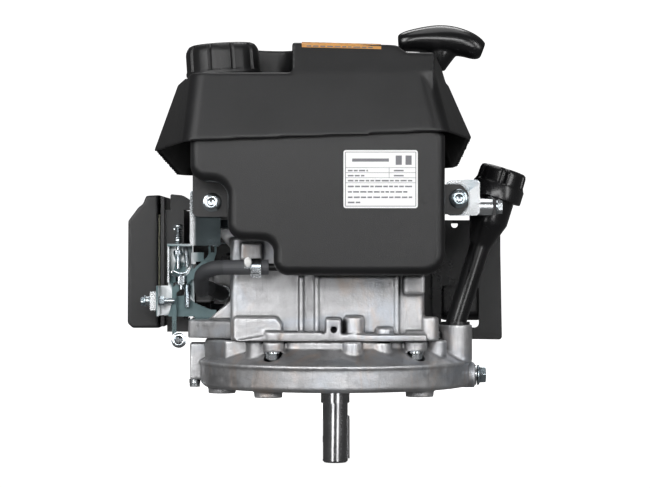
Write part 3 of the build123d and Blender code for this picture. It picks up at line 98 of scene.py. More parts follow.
def ramp(nds, lks, fac, stops):
    """Colour ramp over (position, colour) stops."""
    r = nds.new("ShaderNodeValToRGB")
    el = r.color_ramp.elements
    while len(el) < len(stops):
        el.new(0.5)
    for e, (pos, col) in zip(el, stops):
        e.position = pos
        e.color = tuple(col) + (1.0,) if len(col) == 3 else col
    lks.new(fac, r.inputs["Fac"])
    return r.outputs["Color"]


def span(nds, lks, fac, lo, hi, a=0.3, b=0.7):
    """Maps a factor's a..b to lo..hi."""
    mr = nds.new("ShaderNodeMapRange")
    mr.inputs["From Min"].default_value = a
    mr.inputs["From Max"].default_value = b
    mr.inputs["To Min"].default_value = lo
    mr.inputs["To Max"].default_value = hi
    lks.new(fac, mr.inputs["Value"])
    return mr.outputs["Result"]


def mix(nds, lks, fac, a, b):
    """Mix of two colours, each a socket or a plain colour."""
    mx = nds.new("ShaderNodeMix")
    mx.data_type = "RGBA"
    mx.blend_type = "MIX"
    for sock, val in ((mx.inputs["Factor"], fac), (mx.inputs[6], a), (mx.inputs[7], b)):
        if isinstance(val, (int, float)):
            sock.default_value = val
        elif isinstance(val, tuple):
            sock.default_value = val + (1.0,)
        else:
            lks.new(val, sock)
    return mx.outputs[2]


def bump(nds, lks, height, strength, distance, normal=None):
    """Bump from a height socket."""
    b = nds.new("ShaderNodeBump")
    b.inputs["Strength"].default_value = strength
    b.inputs["Distance"].default_value = distance
    lks.new(height, b.inputs["Height"])
    if normal is not None:
        lks.new(normal, b.inputs["Normal"])
    return b.outputs["Normal"]


def edge_wear_and_highlight(nds, lks, lo=0.52, hi=0.6):
    """Factor that rises on convex edges, where colour is painted lighter: partly wear, partly a painted
    highlight.
    """
    g = nds.new("ShaderNodeNewGeometry")
    return span(nds, lks, g.outputs["Pointiness"], 0.0, 1.0, lo, hi)


def plastic(name, base, light, rough, grain_scale, grain, coat=0.0, coat_rough=0.1):
    """Moulded plastic: fine grain, faint dust, and edges painted lighter, partly as handling wear and partly
    as a painted highlight.
    """
    m, nds, lks, sh = new_material(name)
    v = coords(nds, lks)
    broad = noise_tex(nds, lks, v, 14.0, 5.0, 0.6)
    fine = noise_tex(nds, lks, v, grain_scale, 3.0, 0.65)
    speck = noise_tex(nds, lks, v, 900.0, 2.0, 0.5)
    col = mix(nds, lks, span(nds, lks, broad, 0.0, 1.0, 0.35, 0.7), base, light)
    dust = span(nds, lks, speck, 0.0, 0.35, 0.66, 0.78)
    col = mix(nds, lks, dust, col, tuple(min(1.0, c * 3.0 + 0.02) for c in base))
    # Edges painted lighter: handling wear and a painted highlight.
    col = mix(nds, lks, edge_wear_and_highlight(nds, lks), col, tuple(min(1.0, c * 1.8 + 0.006) for c in light))
    lks.new(col, sh.inputs["Base Color"])
    lks.new(span(nds, lks, broad, rough - 0.05, rough + 0.07, 0.3, 0.7), sh.inputs["Roughness"])
    lks.new(bump(nds, lks, fine, grain, 0.0004), sh.inputs["Normal"])
    sh.inputs["Coat Weight"].default_value = coat
    sh.inputs["Coat Roughness"].default_value = coat_rough
    sh.inputs["Specular IOR Level"].default_value = 0.5
    return m


def corner_shade(nds, lks, reach, lo=0.35, hi=0.95):
    """Factor that is 1 in corners and 0 in the open, from ambient occlusion; colour mixed by it paints shade
    into the corners.
    """
    ao = nds.new("ShaderNodeAmbientOcclusion")
    ao.samples = 6
    ao.inputs["Distance"].default_value = reach
    return span(nds, lks, ao.outputs["AO"], 1.0, 0.0, lo, hi)


def cast_metal(name, base, dark, warm, cool, rough, grain=0.5):
    """Raw die casting: mottled skin, warm and cool flow marks, pores, scratches, painted shade in the
    corners, and edges painted lighter as wear and a painted highlight.
    """
    m, nds, lks, sh = new_material(name)
    v = coords(nds, lks)
    broad = noise_tex(nds, lks, v, 16.0, 6.0, 0.62, 0.6)
    stain = noise_tex(nds, lks, coords(nds, lks, (1, 1, 0.3)), 30.0, 5.0, 0.6, 1.6)
    blue = noise_tex(nds, lks, coords(nds, lks, (0.6, 1, 1)), 22.0, 4.0, 0.6, 1.0)
    fine = noise_tex(nds, lks, v, 620.0, 4.0, 0.7)
    mid = noise_tex(nds, lks, v, 130.0, 4.0, 0.6)
    streak = noise_tex(nds, lks, coords(nds, lks, (1.0, 1.0, 0.08)), 420.0, 3.0, 0.6)
    col = mix(nds, lks, span(nds, lks, broad, 0.0, 1.0, 0.3, 0.7), dark, base)
    col = mix(nds, lks, span(nds, lks, blue, 0.0, 0.7, 0.5, 0.72), col, cool)
    col = mix(nds, lks, span(nds, lks, stain, 0.0, 0.6, 0.56, 0.74), col, warm)
    scratch = span(nds, lks, streak, 0.0, 0.35, 0.58, 0.75)
    col = mix(nds, lks, scratch, col, tuple(c * 0.6 for c in dark))
    pores = span(nds, lks, fine, 0.0, 0.5, 0.62, 0.8)
    col = mix(nds, lks, pores, col, tuple(c * 0.4 for c in dark))
    # Painted shade: corners darkened from ambient occlusion.
    col = mix(nds, lks, corner_shade(nds, lks, 0.006), col, tuple(c * 0.22 for c in dark))
    # Edges painted lighter: wear and a painted highlight.
    col = mix(nds, lks, edge_wear_and_highlight(nds, lks, 0.51, 0.57), col, tuple(min(1.0, c * 1.3) for c in base))
    lks.new(col, sh.inputs["Base Color"])
    sh.inputs["Metallic"].default_value = 0.9
    lks.new(span(nds, lks, mid, rough - 0.12, rough + 0.16, 0.3, 0.7), sh.inputs["Roughness"])
    n1 = bump(nds, lks, mid, 0.4, 0.0008)
    lks.new(bump(nds, lks, fine, grain, 0.0003, n1), sh.inputs["Normal"])
    return m


def turned_metal(name, base, rough, ring_scale):
    """Turned or ground steel: fine rings round the shaft and faint handling marks."""
    m, nds, lks, sh = new_material(name)
    rings = noise_tex(nds, lks, coords(nds, lks, (0.02, 0.02, 1)), ring_scale, 2.0, 0.8)
    v = coords(nds, lks)
    broad = noise_tex(nds, lks, v, 60.0, 4.0, 0.6)
    col = mix(nds, lks, span(nds, lks, broad, 0.0, 1.0, 0.3, 0.7), tuple(c * 0.72 for c in base), base)
    # Edges painted lighter: wear and a painted highlight.
    col = mix(nds, lks, edge_wear_and_highlight(nds, lks), col, tuple(min(1.0, c * 1.3) for c in base))
    lks.new(col, sh.inputs["Base Color"])
    sh.inputs["Metallic"].default_value = 1.0
    lks.new(span(nds, lks, rings, rough - 0.02, rough + 0.04, 0.3, 0.7), sh.inputs["Roughness"])
    lks.new(bump(nds, lks, rings, 0.03, 0.00005), sh.inputs["Normal"])
    sh.inputs["Anisotropic"].default_value = 0.4
    return m


def plated_metal(name, base, tint, rough):
    """Bright zinc plating: cloudy, blue to straw tinted, with a crisp sheen, a painted highlight on the edges
    and painted shade in the corners.
    """
    m, nds, lks, sh = new_material(name)
    v = coords(nds, lks)
    cloud = noise_tex(nds, lks, v, 26.0, 3.0, 0.5, 0.4)
    fine = noise_tex(nds, lks, v, 700.0, 3.0, 0.6)
    col = mix(nds, lks, span(nds, lks, cloud, 0.0, 1.0, 0.35, 0.68), base, tint)
    # Painted highlight: convex edges near white.
    col = mix(nds, lks, edge_wear_and_highlight(nds, lks, 0.56, 0.62), col, (0.9, 0.93, 0.95))
    # Painted shade: corners darkened from ambient occlusion.
    col = mix(nds, lks, corner_shade(nds, lks, 0.003), col, tuple(c * 0.3 for c in tint))
    lks.new(col, sh.inputs["Base Color"])
    sh.inputs["Metallic"].default_value = 1.0
    lks.new(span(nds, lks, cloud, rough - 0.02, rough + 0.08, 0.3, 0.7), sh.inputs["Roughness"])
    lks.new(bump(nds, lks, fine, 0.05, 0.00005), sh.inputs["Normal"])
    return m


BRIGHT_ZINC = ((0.78, 0.82, 0.86), (0.5, 0.6, 0.66), 0.2)     # base, tint, roughness
SHADE_START_X = (-0.119, -0.1165)     # metres; the folded edge outside this stays bright
SHADE_END_X = (-0.06, -0.05)          # metres; the right bracket lies beyond it


def bracket_metal(name):
    """Zinc plate, painted dark by position on the left bracket to imitate the tank's shade there."""
    m = plated_metal(name, *BRIGHT_ZINC)
    nds = m.node_tree.nodes
    lks = m.node_tree.links
    sh = nds["Principled BSDF"]
    old = sh.inputs["Base Color"].links[0].from_socket
    xyz = nds.new("ShaderNodeSeparateXYZ")
    lks.new(coords(nds, lks), xyz.inputs[0])
    inner = span(nds, lks, xyz.outputs["X"], 0.0, 1.0, *SHADE_START_X)
    left = span(nds, lks, xyz.outputs["X"], 1.0, 0.0, *SHADE_END_X)
    both = nds.new("ShaderNodeMath")
    both.operation = "MULTIPLY"
    lks.new(inner, both.inputs[0])
    lks.new(left, both.inputs[1])
    lks.new(mix(nds, lks, both.outputs[0], old, (0.06, 0.075, 0.08)), sh.inputs["Base Color"])
    return m


MATS = {
    "cast_aluminium": cast_metal("cast_aluminium", (0.7, 0.7, 0.71), (0.36, 0.36, 0.37),
                                 (0.62, 0.5, 0.42), (0.5, 0.55, 0.62), 0.48),
    "machined_steel": turned_metal("machined_steel", (0.42, 0.42, 0.43), 0.2, 1500.0),
    "zinc_steel": plated_metal("zinc_steel", *BRIGHT_ZINC),
    "bracket_zinc": bracket_metal("bracket_zinc"),
    # A darker copy of the zinc: painted shade for the speed-control parts.
    "shaded_zinc": plated_metal("shaded_zinc", (0.2, 0.27, 0.28), (0.1, 0.15, 0.16), 0.26),
    "satin_black_plastic": plastic("satin_black_plastic", (0.006, 0.006, 0.0065),
                                   (0.011, 0.011, 0.012), 0.4, 1300.0, 0.3),
    "gloss_black_plastic": plastic("gloss_black_plastic", (0.004, 0.004, 0.0045),
                                   (0.007, 0.007, 0.008), 0.26, 700.0, 0.08, 0.35, 0.16),
    "black_sheet": plastic("black_sheet", (0.004, 0.004, 0.0045), (0.008, 0.008, 0.009), 0.3, 500.0, 0.14),
    "dark_rubber": plastic("dark_rubber", (0.03, 0.031, 0.035), (0.055, 0.057, 0.062), 0.55, 900.0, 0.25),
    "white_label": plastic("white_label", (0.82, 0.82, 0.81), (0.9, 0.9, 0.89), 0.35, 900.0, 0.02),
    "filter_paper": plastic("filter_paper", (0.6, 0.5, 0.3), (0.72, 0.62, 0.42), 0.8, 900.0, 0.3),
    "cast_iron": cast_metal("cast_iron", (0.2, 0.2, 0.21), (0.09, 0.09, 0.09),
                            (0.2, 0.16, 0.13), (0.12, 0.13, 0.15), 0.5),
    "ceramic_white": plastic("ceramic_white", (0.78, 0.78, 0.76), (0.86, 0.86, 0.84), 0.15, 400.0, 0.02, 0.5),
    "gasket_paper": plastic("gasket_paper", (0.012, 0.012, 0.013), (0.03, 0.03, 0.03), 0.8, 900.0, 0.3),
    "rope_fibre": plastic("rope_fibre", (0.03, 0.03, 0.034), (0.07, 0.07, 0.075), 0.8, 1200.0, 0.6),
    "orange_label": plastic("orange_label", (0.85, 0.22, 0.05), (0.95, 0.3, 0.09), 0.4, 900.0, 0.03),
    "label_ink": plastic("label_ink", (0.05, 0.05, 0.055), (0.11, 0.11, 0.12), 0.5, 900.0, 0.02),
    "pale_ink": plastic("pale_ink", (0.1, 0.1, 0.11), (0.16, 0.16, 0.17), 0.5, 900.0, 0.02),
}
for entry in frame["record"]["subparts"]:
    o = nodes[entry["node"]]
    o.data.materials.clear()
    o.data.materials.append(MATS[entry["material_slot"]])


def piece(name, bm, slot, body, stands_for=(), shade=0.7):
    """Turns a bmesh in millimetres, in the row frame, into a piece riding on a body."""
    bmesh.ops.scale(bm, vec=(MM, MM, MM), verts=bm.verts)
    bmesh.ops.recalc_face_normals(bm, faces=bm.faces)
    me = bpy.data.meshes.new(name)
    bm.to_mesh(me)
    bm.free()
    ob = bpy.data.objects.new(name, me)
    bpy.context.scene.collection.objects.link(ob)
    me.materials.append(MATS[slot])
    me.shade_smooth()
    me.set_sharp_from_angle(angle=shade)
    if isinstance(body, str):
        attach(ob, body)
    if stands_for:
        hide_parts(*stands_for)
    return ob


def ring_stack(bm, rings, close_ends=True):
    """Skins a list of equal-length rings of points into a tube, closed at both ends if asked."""
    made = [[bm.verts.new(p) for p in ring] for ring in rings]
    n = len(made[0])
    for low, high in zip(made, made[1:]):
        for k in range(n):
            bm.faces.new((low[k], low[(k + 1) % n], high[(k + 1) % n], high[k]))
    if close_ends:
        bm.faces.new(tuple(reversed(made[0])))
        bm.faces.new(tuple(made[-1]))


def lathe(bm, profile, place=Matrix(), steps=48, shape=None):
    """Solid of revolution from (radius, height) points; shape bends a radius by angle and height."""
    rings = []
    for r, z in profile:
        ring = []
        for k in range(steps):
            a = math.tau * k / steps
            rr = shape(r, z, a) if shape else r
            ring.append(place @ Vector((rr * math.cos(a), rr * math.sin(a), z)))
        rings.append(ring)
    ring_stack(bm, rings)


def smooth_line(points, steps):
    """Points along a Catmull-Rom line through the given ones."""
    pts = [Vector(p) for p in points]
    pts = [pts[0] * 2 - pts[1]] + pts + [pts[-1] * 2 - pts[-2]]
    out = []
    for i in range(1, len(pts) - 2):
        a, b, c, d = pts[i - 1:i + 3]
        for k in range(steps):
            t = k / steps
            out.append(0.5 * (2 * b + (c - a) * t + (2 * a - 5 * b + 4 * c - d) * t * t
                              + (3 * b - a - 3 * c + d) * t ** 3))
    out.append(pts[-2])
    return out


def wire(bm, line, r, sides=10):
    """Round wire along a list of points."""
    rings = []
    up = Vector((0.13, 0.31, 0.94)).normalized()
    for i, p in enumerate(line):
        ahead = line[min(i + 1, len(line) - 1)] - line[max(i - 1, 0)]
        ahead.normalize()
        side = ahead.cross(up)
        if side.length < 0.2:
            side = ahead.cross(Vector((1, 0, 0)))
        side.normalize()
        up = side.cross(ahead).normalized()
        angles = [math.tau * k / sides for k in range(sides)]
        rings.append([p + r * (math.cos(a) * side + math.sin(a) * up) for a in angles])
    ring_stack(bm, rings)


def helix(start, end, r, turns, per_turn=16, hooks=0.0):
    """Points of a coil spring between two points; hooks leaves straight ends of that length."""
    start = Vector(start)
    end = Vector(end)
    axis = (end - start).normalized()
    side = axis.cross(Vector((0.2, 0.9, 0.3))).normalized()
    other = axis.cross(side)
    a = start + axis * hooks
    b = end - axis * hooks
    line = [start] if hooks else []
    for k in range(int(turns * per_turn) + 1):
        t = k / (turns * per_turn)
        w = math.tau * turns * t
        line.append(a.lerp(b, t) + r * (math.cos(w) * side + math.sin(w) * other))
    if hooks:
        line.append(end)
    return line


def facing(place, axis):
    """Matrix that puts local +Z along an axis at a place."""
    turn = Vector((0, 0, 1)).rotation_difference(Vector(axis)).to_matrix().to_4x4()
    return Matrix.Translation(Vector(place)) @ turn


def hex_bolt(bm, place, axis, across, height, flange_r=0.0, flange_h=1.6, spin=0.0):
    """Flanged hexagon head with chamfered corners, a dished top and a rolled flange edge."""
    at = facing(place, axis) @ Matrix.Rotation(spin, 4, "Z")
    if flange_r:
        lathe(bm, [(flange_r - 0.4, 0), (flange_r, 0.4), (flange_r, 0.9), (flange_r - 0.5, flange_h * 0.8),
                   (across * 0.5, flange_h + 0.5)], at, 40)
    corner = across / math.sqrt(3)

    def flats(r, z, a):
        near = (a % (math.pi / 3)) - math.pi / 6
        return min(r, across / 2 / math.cos(near))

    lathe(bm, [(corner, 0), (corner, height - 1.1), (corner * 0.93, height - 0.3), (across * 0.43, height),
               (across * 0.36, height), (across * 0.3, height - 0.5), (across * 0.05, height - 0.55)],
          at, 48, flats)


def slab(bm, x0, x1, y0, y1, z0, z1):
    """Thin plate between two corners."""
    corners = [bm.verts.new((x, y, z)) for x in (x0, x1) for y in (y0, y1) for z in (z0, z1)]
    for quad in ((0, 1, 3, 2), (4, 6, 7, 5), (0, 4, 5, 1), (2, 3, 7, 6), (0, 2, 6, 4), (1, 5, 7, 3)):
        bm.faces.new([corners[k] for k in quad])


# ---- pieces ---------------------------------------------------------------------------------
# Places of the CAD features that the pieces sit on, in millimetres.
FUEL_CAP_AT = (-94, -92, 270.5)
FUEL_CAP_TILT = math.radians(-3.6)
OIL_TUBE_AT = (104, -30, 60)
OIL_TUBE_TILT = math.radians(17.5)
TANK_BOLTS = ((-103.0, 164.0, 0.25), (102.0, 167.0, 0.05))     # X, Z and turn of each head
TANK_BOLT_Y = -112
DRAIN_YZ = (-12, 15)
SPEED_SCREW_XY = (-137, -18)
STUD_XY = (-134, -18)
GOVERNOR_NUT_AT = (-136, -24.5, 46)
CLAMP_AXIS = (-25.0, 80.0)     # Y and Z of the cable clamp's screw
GRIP_AT = (90, -12, 281.5)     # where the rope passes the grip's seat
GRIP_LEAN = math.radians(10)
FRONT, RIGHT, LEFT, UP = (0, -1, 0), (1, 0, 0), (-1, 0, 0), (0, 0, 1)


def fuel_cap():
    """Grip cap with broad panels between narrow grooves and a rounded, slightly domed top."""
    bm = bmesh.new()
    at = Matrix.Translation(FUEL_CAP_AT) @ Matrix.Rotation(FUEL_CAP_TILT, 4, "Y")
    grooves = 10

    def grooved(r, z, a):
        if not 3.5 < z < 24.5 or r < 20:
            return r
        beside = abs(((a * grooves / math.tau) % 1.0) - 0.5) * 2
        lobe = 0.55 * math.cos((1 - beside) * math.pi * 0.5)
        return r - 1.7 * max(0.0, (beside - 0.8) / 0.2) ** 0.7 - lobe * 0.6

    profile = [(23, 0.2), (30.6, 0.0), (31.3, 0.8), (31.3, 3.0), (31.2, 3.7), (31.0, 5), (31.0, 18),
               (30.6, 20.5), (29.4, 23.0), (27.6, 25.0), (25.5, 26.0), (24.5, 25.4), (23.0, 25.4),
               (22.0, 26.1), (10, 26.6), (1, 26.7)]
    lathe(bm, profile, at, 200, grooved)
    lathe(bm, [(22, 19.9), (22.9, 19.6), (22.9, 0.6), (21.6, 0.5)], at, 60)
    piece("fuel_cap_shell", bm, "satin_black_plastic", "cap", ("fuel_cap",))


def oil_cap():
    """Glossy oil filler cap: a round skirt and, above it, a grip with broad lobes and a sunk top."""
    bm = bmesh.new()
    at = Matrix.Translation(OIL_TUBE_AT) @ Matrix.Rotation(OIL_TUBE_TILT, 4, "Y")
    lobes = 6
    skirt_top = 127.5

    def lobed(r, z, a):
        if z < skirt_top or r < 12:
            return r
        return r + 1.3 * math.tanh(5.0 * (math.cos(lobes * a) + 0.75))

    profile = [(17.7, 114.1), (21.8, 114.0), (22.5, 114.7), (22.5, 125.4), (21.6, 126.8), (20.0, 127.6),
               (19.4, 129), (19.2, 137), (18.4, 139.6), (16.6, 140.8), (13.5, 141.1), (12.5, 140.2),
               (1, 140.0)]
    lathe(bm, profile, at, 160, lobed)
    piece("oil_cap_shell", bm, "gloss_black_plastic", "oil_cap", ("oil_cap",))


def label_lines():
    """Printed frame, ruled lines and plain bars on the rating plate: no wording."""
    front, back = -150.5, -150.38          # Y of the ink's two faces
    x0, x1, z0, z1 = 7.6, 64.9, 160.2, 204.2
    t = 0.3                                # half the width of a frame line
    top_rule, low_rule = 191.5, 183.3
    lines = bmesh.new()
    for za in (z0, z1):
        slab(lines, x0, x1, front, back, za - t, za + t)
    for xa in (x0, x1):
        slab(lines, xa - t, xa + t, front, back, z0, z1)
    for za in (top_rule, 187.4, low_rule, 179.2):
        slab(lines, x0, x1, front, back, za - t * 0.7, za + t * 0.7)
    slab(lines, 43.0, 43.4, front, back, low_rule, top_rule)
    piece("label_frame", lines, "pale_ink", "engine_block")
    bars = bmesh.new()
    rng = random.Random(7)
    slab(bars, 13, 43, front, back, 196.4, 199.0)
    for k in range(2):
        slab(bars, 48.5 + 8 * k, 53.5 + 8 * k, front, back, 193.8, 201.4)
    rows = ((188.5, 26), (184.4, 24), (180.3, 62), (175.6, 62), (171.2, 58), (166.8, 62), (162.6, 20))
    for row, (z, end) in enumerate(rows):
        x = 9.6
        while x < end:
            w = rng.uniform(2.6, 6.4)
            slab(bars, x, min(x + w, end), front, back, z, z + 1.25)
            x += w + 1.0
        if row < 2:
            slab(bars, 47, 55, front, back, z, z + 1.25)
    piece("label_bars", bars, "label_ink", "engine_block")


def warning_strip():
    """Orange strip wrapped over the front top edge of the hood, with plain dark bars."""

    def top_z(x):
        """Height of the hood's front top edge, which falls to the right."""
        return 295.9 - 0.0254 * (x + 68)

    bm = bmesh.new()
    rings = []
    for x in (-28.0, -10.0, 8.0, 26.0, 37.0):
        z = top_z(x)
        path = [(-140.0, z - 4.4), (-139.2, z - 2.0), (-138.2, z - 0.6), (-136.0, z + 0.3),
                (-122, z + 0.45)]
        rings.append([bm.verts.new((x, y, h)) for y, h in path])
    for a, b in zip(rings, rings[1:]):
        for k in range(len(a) - 1):
            bm.faces.new((a[k], b[k], b[k + 1], a[k + 1]))
    bmesh.ops.solidify(bm, geom=bm.faces[:], thickness=0.25)
    piece("warning_strip", bm, "orange_label", "engine_block", shade=1.2)
    bars = bmesh.new()
    rng = random.Random(3)
    x = -24.0
    while x < 30:
        w = rng.uniform(3, 6)
        z = top_z(x + w / 2) + 0.62
        slab(bars, x, x + w, -131.5, -127.5, z, z + 0.12)
        slab(bars, x, x + w, -140.3, -139.6, z - 4.3, z - 3.5)
        x += w + 1.4
    piece("warning_bars", bars, "label_ink", "engine_block")


def bolt_heads():
    """Detailed heads on the bolts that show, each group standing for its CAD node."""
    bm = bmesh.new()
    for x, z, spin in TANK_BOLTS:
        hex_bolt(bm, (x, TANK_BOLT_Y, z), FRONT, 10.0, 6.6, 8.0, 1.8, spin)
        lathe(bm, [(2.9, -12), (3.0, 0)], facing((x, TANK_BOLT_Y, z), FRONT), 24)
    piece("tank_bolt_heads", bm, "zinc_steel", "engine_block", ("tank_bolts",))
    bm = bmesh.new()
    hex_bolt(bm, (124.0, *DRAIN_YZ), RIGHT, 13, 7.6, 9.0, 2.0, 0.4)
    lathe(bm, [(4.8, -14), (4.9, 1), (8.8, 1), (8.8, 0)], facing((122.0, *DRAIN_YZ), RIGHT), 40)
    piece("drain_plug_head", bm, "zinc_steel", "engine_block", ("drain_plug",))


def throttle_springs():
    """Speed screw with its spring, and the fine spring along the governor link."""
    bm = bmesh.new()
    wire(bm, helix((*SPEED_SCREW_XY, 130.2), (*SPEED_SCREW_XY, 142.6), 3.5, 6, 20), 0.62, 8)
    lathe(bm, [(1.9, 108), (2.0, 143), (4.0, 143), (4.4, 143.6), (4.4, 145.6), (3.4, 146.5)],
          Matrix.Translation((*SPEED_SCREW_XY, 0)), 32)
    hex_bolt(bm, (*SPEED_SCREW_XY, 120), UP, 7, 4)
    piece("speed_screw_set", bm, "zinc_steel", "engine_block", ("speed_screw",))
    bm = bmesh.new()
    wire(bm, helix((-107, 6, 130), (-107, 70, 130), 2.6, 22, 14, 4.0), 0.4, 8)
    piece("link_spring", bm, "zinc_steel", "link")


def control_springs():
    """Return spring, adjusting nut, clamp screw and governor nut in front of the speed control."""
    bm = bmesh.new()
    wire(bm, helix((-130.5, -21.5, 129), (-128.5, -21.5, 107), 2.1, 16, 14, 2.0), 0.45, 8)
    hook = smooth_line([(-128.5, -21.5, 107), (-130, -22, 104.5), (-136, -22, 104), (-141, -22, 106),
                        (-142.5, -22, 104), (-140, -22, 101.5), (-134, -22, 101)], 8)
    wire(bm, hook, 0.6, 8)
    piece("return_spring", bm, "zinc_steel", "engine_block")
    bm = bmesh.new()
    hex_bolt(bm, (*STUD_XY, 94), UP, 9, 8)
    lathe(bm, [(2.4, 74), (2.6, 75), (2.6, 94), (3.2, 94)], Matrix.Translation((-129, -17, 0)), 24)
    lathe(bm, [(2.2, 90), (2.2, 104), (1.6, 105)], Matrix.Translation((*STUD_XY, 0)), 24)
    piece("adjusting_nut", bm, "zinc_steel", "engine_block")
    bm = bmesh.new()
    hex_bolt(bm, (-164.5, *CLAMP_AXIS), LEFT, 7.5, 4.5, 5.4, 1.2, 0.3)
    piece("clamp_screw_head", bm, "zinc_steel", "engine_block")
    bm = bmesh.new()
    hex_bolt(bm, GOVERNOR_NUT_AT, FRONT, 10.3, 5.4, 6.9, 1.2, 0.2)
    lathe(bm, [(2.6, 4), (2.7, 6.4), (2.0, 7.0)], facing(GOVERNOR_NUT_AT, FRONT), 24)
    piece("governor_nut", bm, "zinc_steel", "governor")


def clip_tab():
    """White plastic tab on the near hose clip."""
    bm = bmesh.new()
    at = facing((-73, -110.5, 114.5), FRONT) @ Matrix.Diagonal((1.0, 1.25, 1.0, 1.0))
    lathe(bm, [(0.2, 0), (3.0, 0), (3.3, 0.8), (3.2, 2.6), (2.4, 3.6), (0.3, 3.9)], at, 28)
    piece("clip_tab", bm, "ceramic_white", "engine_block")


def rope():
    """Braided starter rope from the pulley up into the grip."""
    bm = bmesh.new()
    x, y, z = GRIP_AT
    into_grip, below_seat = 5, 22
    top = Vector((x + into_grip * math.sin(GRIP_LEAN), y, z + into_grip * math.cos(GRIP_LEAN)))
    low = Vector((x - below_seat * math.sin(GRIP_LEAN), y, z - below_seat * math.cos(GRIP_LEAN)))
    line = smooth_line([(51.8, -30, 250), (72, -24, 250.6), (82, -16, 253), low,
                        low.lerp(top, 0.4), top], 14)
    sides = 16
    rings = []
    for i, p in enumerate(line):
        ahead = (line[min(i + 1, len(line) - 1)] - line[max(i - 1, 0)]).normalized()
        side = ahead.cross(Vector((0, 1, 0.1))).normalized()
        other = side.cross(ahead).normalized()
        ring = []
        for k in range(sides):
            a = math.tau * k / sides
            r = 2.05 + 0.16 * math.sin(4 * a + i * 0.9) + 0.1 * math.sin(4 * a - i * 0.9)
            ring.append(p + r * (math.cos(a) * side + math.sin(a) * other))
        rings.append(ring)
    ring_stack(bm, rings)
    ob = piece("rope_line", bm, "rope_fibre", None, ("starter_rope",))
    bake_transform(ob)


fuel_cap()
oil_cap()
label_lines()
warning_strip()
bolt_heads()
throttle_springs()
control_springs()
clip_tab()
rope()
# The speed-control parts get the darker zinc copy, which is painted shade.
for name in ("control_bracket", "governor_arm", "control_lever"):
    nodes[name].data.materials[0] = MATS["shaded_zinc"]
nodes["tank_brackets"].data.materials[0] = MATS["bracket_zinc"]


# ---- softened edges -------------------------------------------------------------------------
def soften(name, width):
    """Rounds a CAD node's sharp edges a little, so that they catch the light."""
    o = nodes[name]
    weld = o.modifiers.new("weld", "WELD")
    weld.merge_threshold = 0.000004
    bevel = o.modifiers.new("bevel", "BEVEL")
    bevel.width = width
    bevel.segments = 2
    bevel.limit_method = "ANGLE"
    bevel.angle_limit = 0.6
    bevel.use_clamp_overlap = True
    even = o.modifiers.new("normals", "WEIGHTED_NORMAL")
    even.keep_sharp = False
    even.weight = 80


def mould(name, cell, smooth):
    """Gives a cast or moulded CAD node the soft corners of its mould."""
    o = nodes[name]
    skin = o.modifiers.new("skin", "REMESH")
    skin.mode = "VOXEL"
    skin.voxel_size = cell
    skin.use_smooth_shade = True
    ease = o.modifiers.new("ease", "SMOOTH")
    ease.factor = 0.5
    ease.iterations = smooth


# Voxel size in metres and smoothing rounds.
MOULDED = (("sump", 0.0011, 3), ("crankcase", 0.0011, 3), ("top_cover", 0.0014, 5),
           ("starter_handle", 0.0008, 6), ("air_cleaner_cover", 0.0012, 6))
# Bevel width in metres.
SOFTENED = (("fuel_tank", 0.0006), ("tank_brackets", 0.0004), ("control_bracket", 0.0004),
            ("governor_arm", 0.0004), ("muffler_guard", 0.0004), ("air_cleaner_base", 0.0006),
            ("carburettor", 0.0005), ("muffler", 0.0005), ("rocker_cover", 0.0006),
            ("cylinder_head", 0.0005), ("oil_filler_tube", 0.0005), ("recoil_housing", 0.0006),
            ("crankshaft", 0.0003), ("control_lever", 0.0003))
for name, cell, smooth in MOULDED:
    mould(name, cell, smooth)
for name, width in SOFTENED:
    soften(name, width)


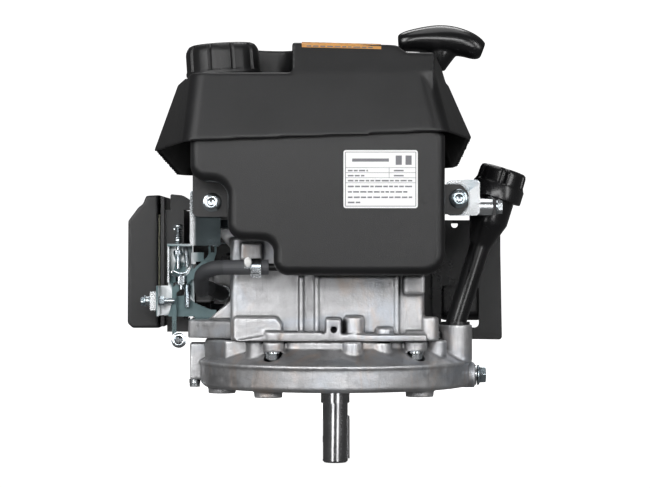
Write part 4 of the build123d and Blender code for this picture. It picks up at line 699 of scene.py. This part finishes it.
# ---- studio ---------------------------------------------------------------------------------
def studio():
    """Pale floor rising into a round wall, soft lights, and the camera level with the engine's middle."""
    scene = bpy.context.scene
    floor_z = cad_box[0][2] - 0.0005
    me = bpy.data.meshes.new("floor")
    bm = bmesh.new()
    sides = 64
    angles = [math.tau * k / sides for k in range(sides)]
    rings = []
    for r, z in ((0.5, 0.0), (7.0, 0.0), (9.0, 0.3), (10.5, 1.2), (11.5, 3.0), (12.0, 12.0)):
        rings.append([Vector((r * math.cos(a), r * math.sin(a), floor_z + z)) for a in angles])
    ring_stack(bm, rings, False)
    bm.verts.ensure_lookup_table()
    bm.faces.new(bm.verts[:sides])
    bm.to_mesh(me)
    bm.free()
    floor = bpy.data.objects.new("floor", me)
    scene.collection.objects.link(floor)
    m, nds, lks, sh = new_material("floor_paint")
    v = coords(nds, lks)
    n = noise_tex(nds, lks, v, 3.0, 4.0, 0.6)
    lks.new(mix(nds, lks, n, (0.93, 0.93, 0.93), (0.96, 0.96, 0.96)), sh.inputs["Base Color"])
    sh.inputs["Roughness"].default_value = 0.8
    sh.inputs["Emission Color"].default_value = (1.0, 1.0, 1.0, 1.0)
    sh.inputs["Emission Strength"].default_value = 1.05
    me.materials.append(m)
    for p in me.polygons:
        p.use_smooth = True
    floor.visible_glossy = False
    floor.visible_diffuse = False

    world = bpy.data.worlds.new("studio")
    scene.world = world
    world.use_nodes = True
    bg = world.node_tree.nodes["Background"]
    bg.inputs["Color"].default_value = (1.0, 1.0, 1.0, 1.0)
    bg.inputs["Strength"].default_value = 0.1

    target = Vector((0, 0, 0.13))

    def area(name, place, size, power):
        """Rectangular light aimed at the engine's middle."""
        light = bpy.data.lights.new(name, "AREA")
        light.shape = "RECTANGLE"
        light.size, light.size_y = size
        light.energy = power
        ob = bpy.data.objects.new(name, light)
        ob.location = place
        ob.rotation_euler = (target - Vector(place)).to_track_quat("-Z", "Y").to_euler()
        scene.collection.objects.link(ob)

    area("key", (-1.5, -1.5, 0.8), (0.7, 1.3), 20)
    area("fill", (1.6, -1.4, 0.7), (0.45, 1.4), 10)
    area("top", (0.1, -0.1, 1.7), (1.3, 0.9), 5)
    area("front", (0.0, -2.3, 0.75), (1.6, 0.5), 17)
    area("front_left", (-0.95, -2.3, 0.05), (0.5, 1.0), 10)
    area("front_right", (0.95, -2.3, 0.1), (0.5, 1.0), 8)
    area("back", (0.0, 1.1, 2.0), (1.6, 0.6), 14)

    cam_data = bpy.data.cameras.new("camera")
    cam_data.lens = 125.9
    cam_data.sensor_width = 36.0
    cam = bpy.data.objects.new("camera", cam_data)
    cam.location = (-0.009, -2.0, 0.1294)
    cam.rotation_euler = (math.radians(90), 0, 0)
    scene.collection.objects.link(cam)
    scene.camera = cam
    scene.view_settings.view_transform = "Standard"
    scene.view_settings.look = "None"


studio()
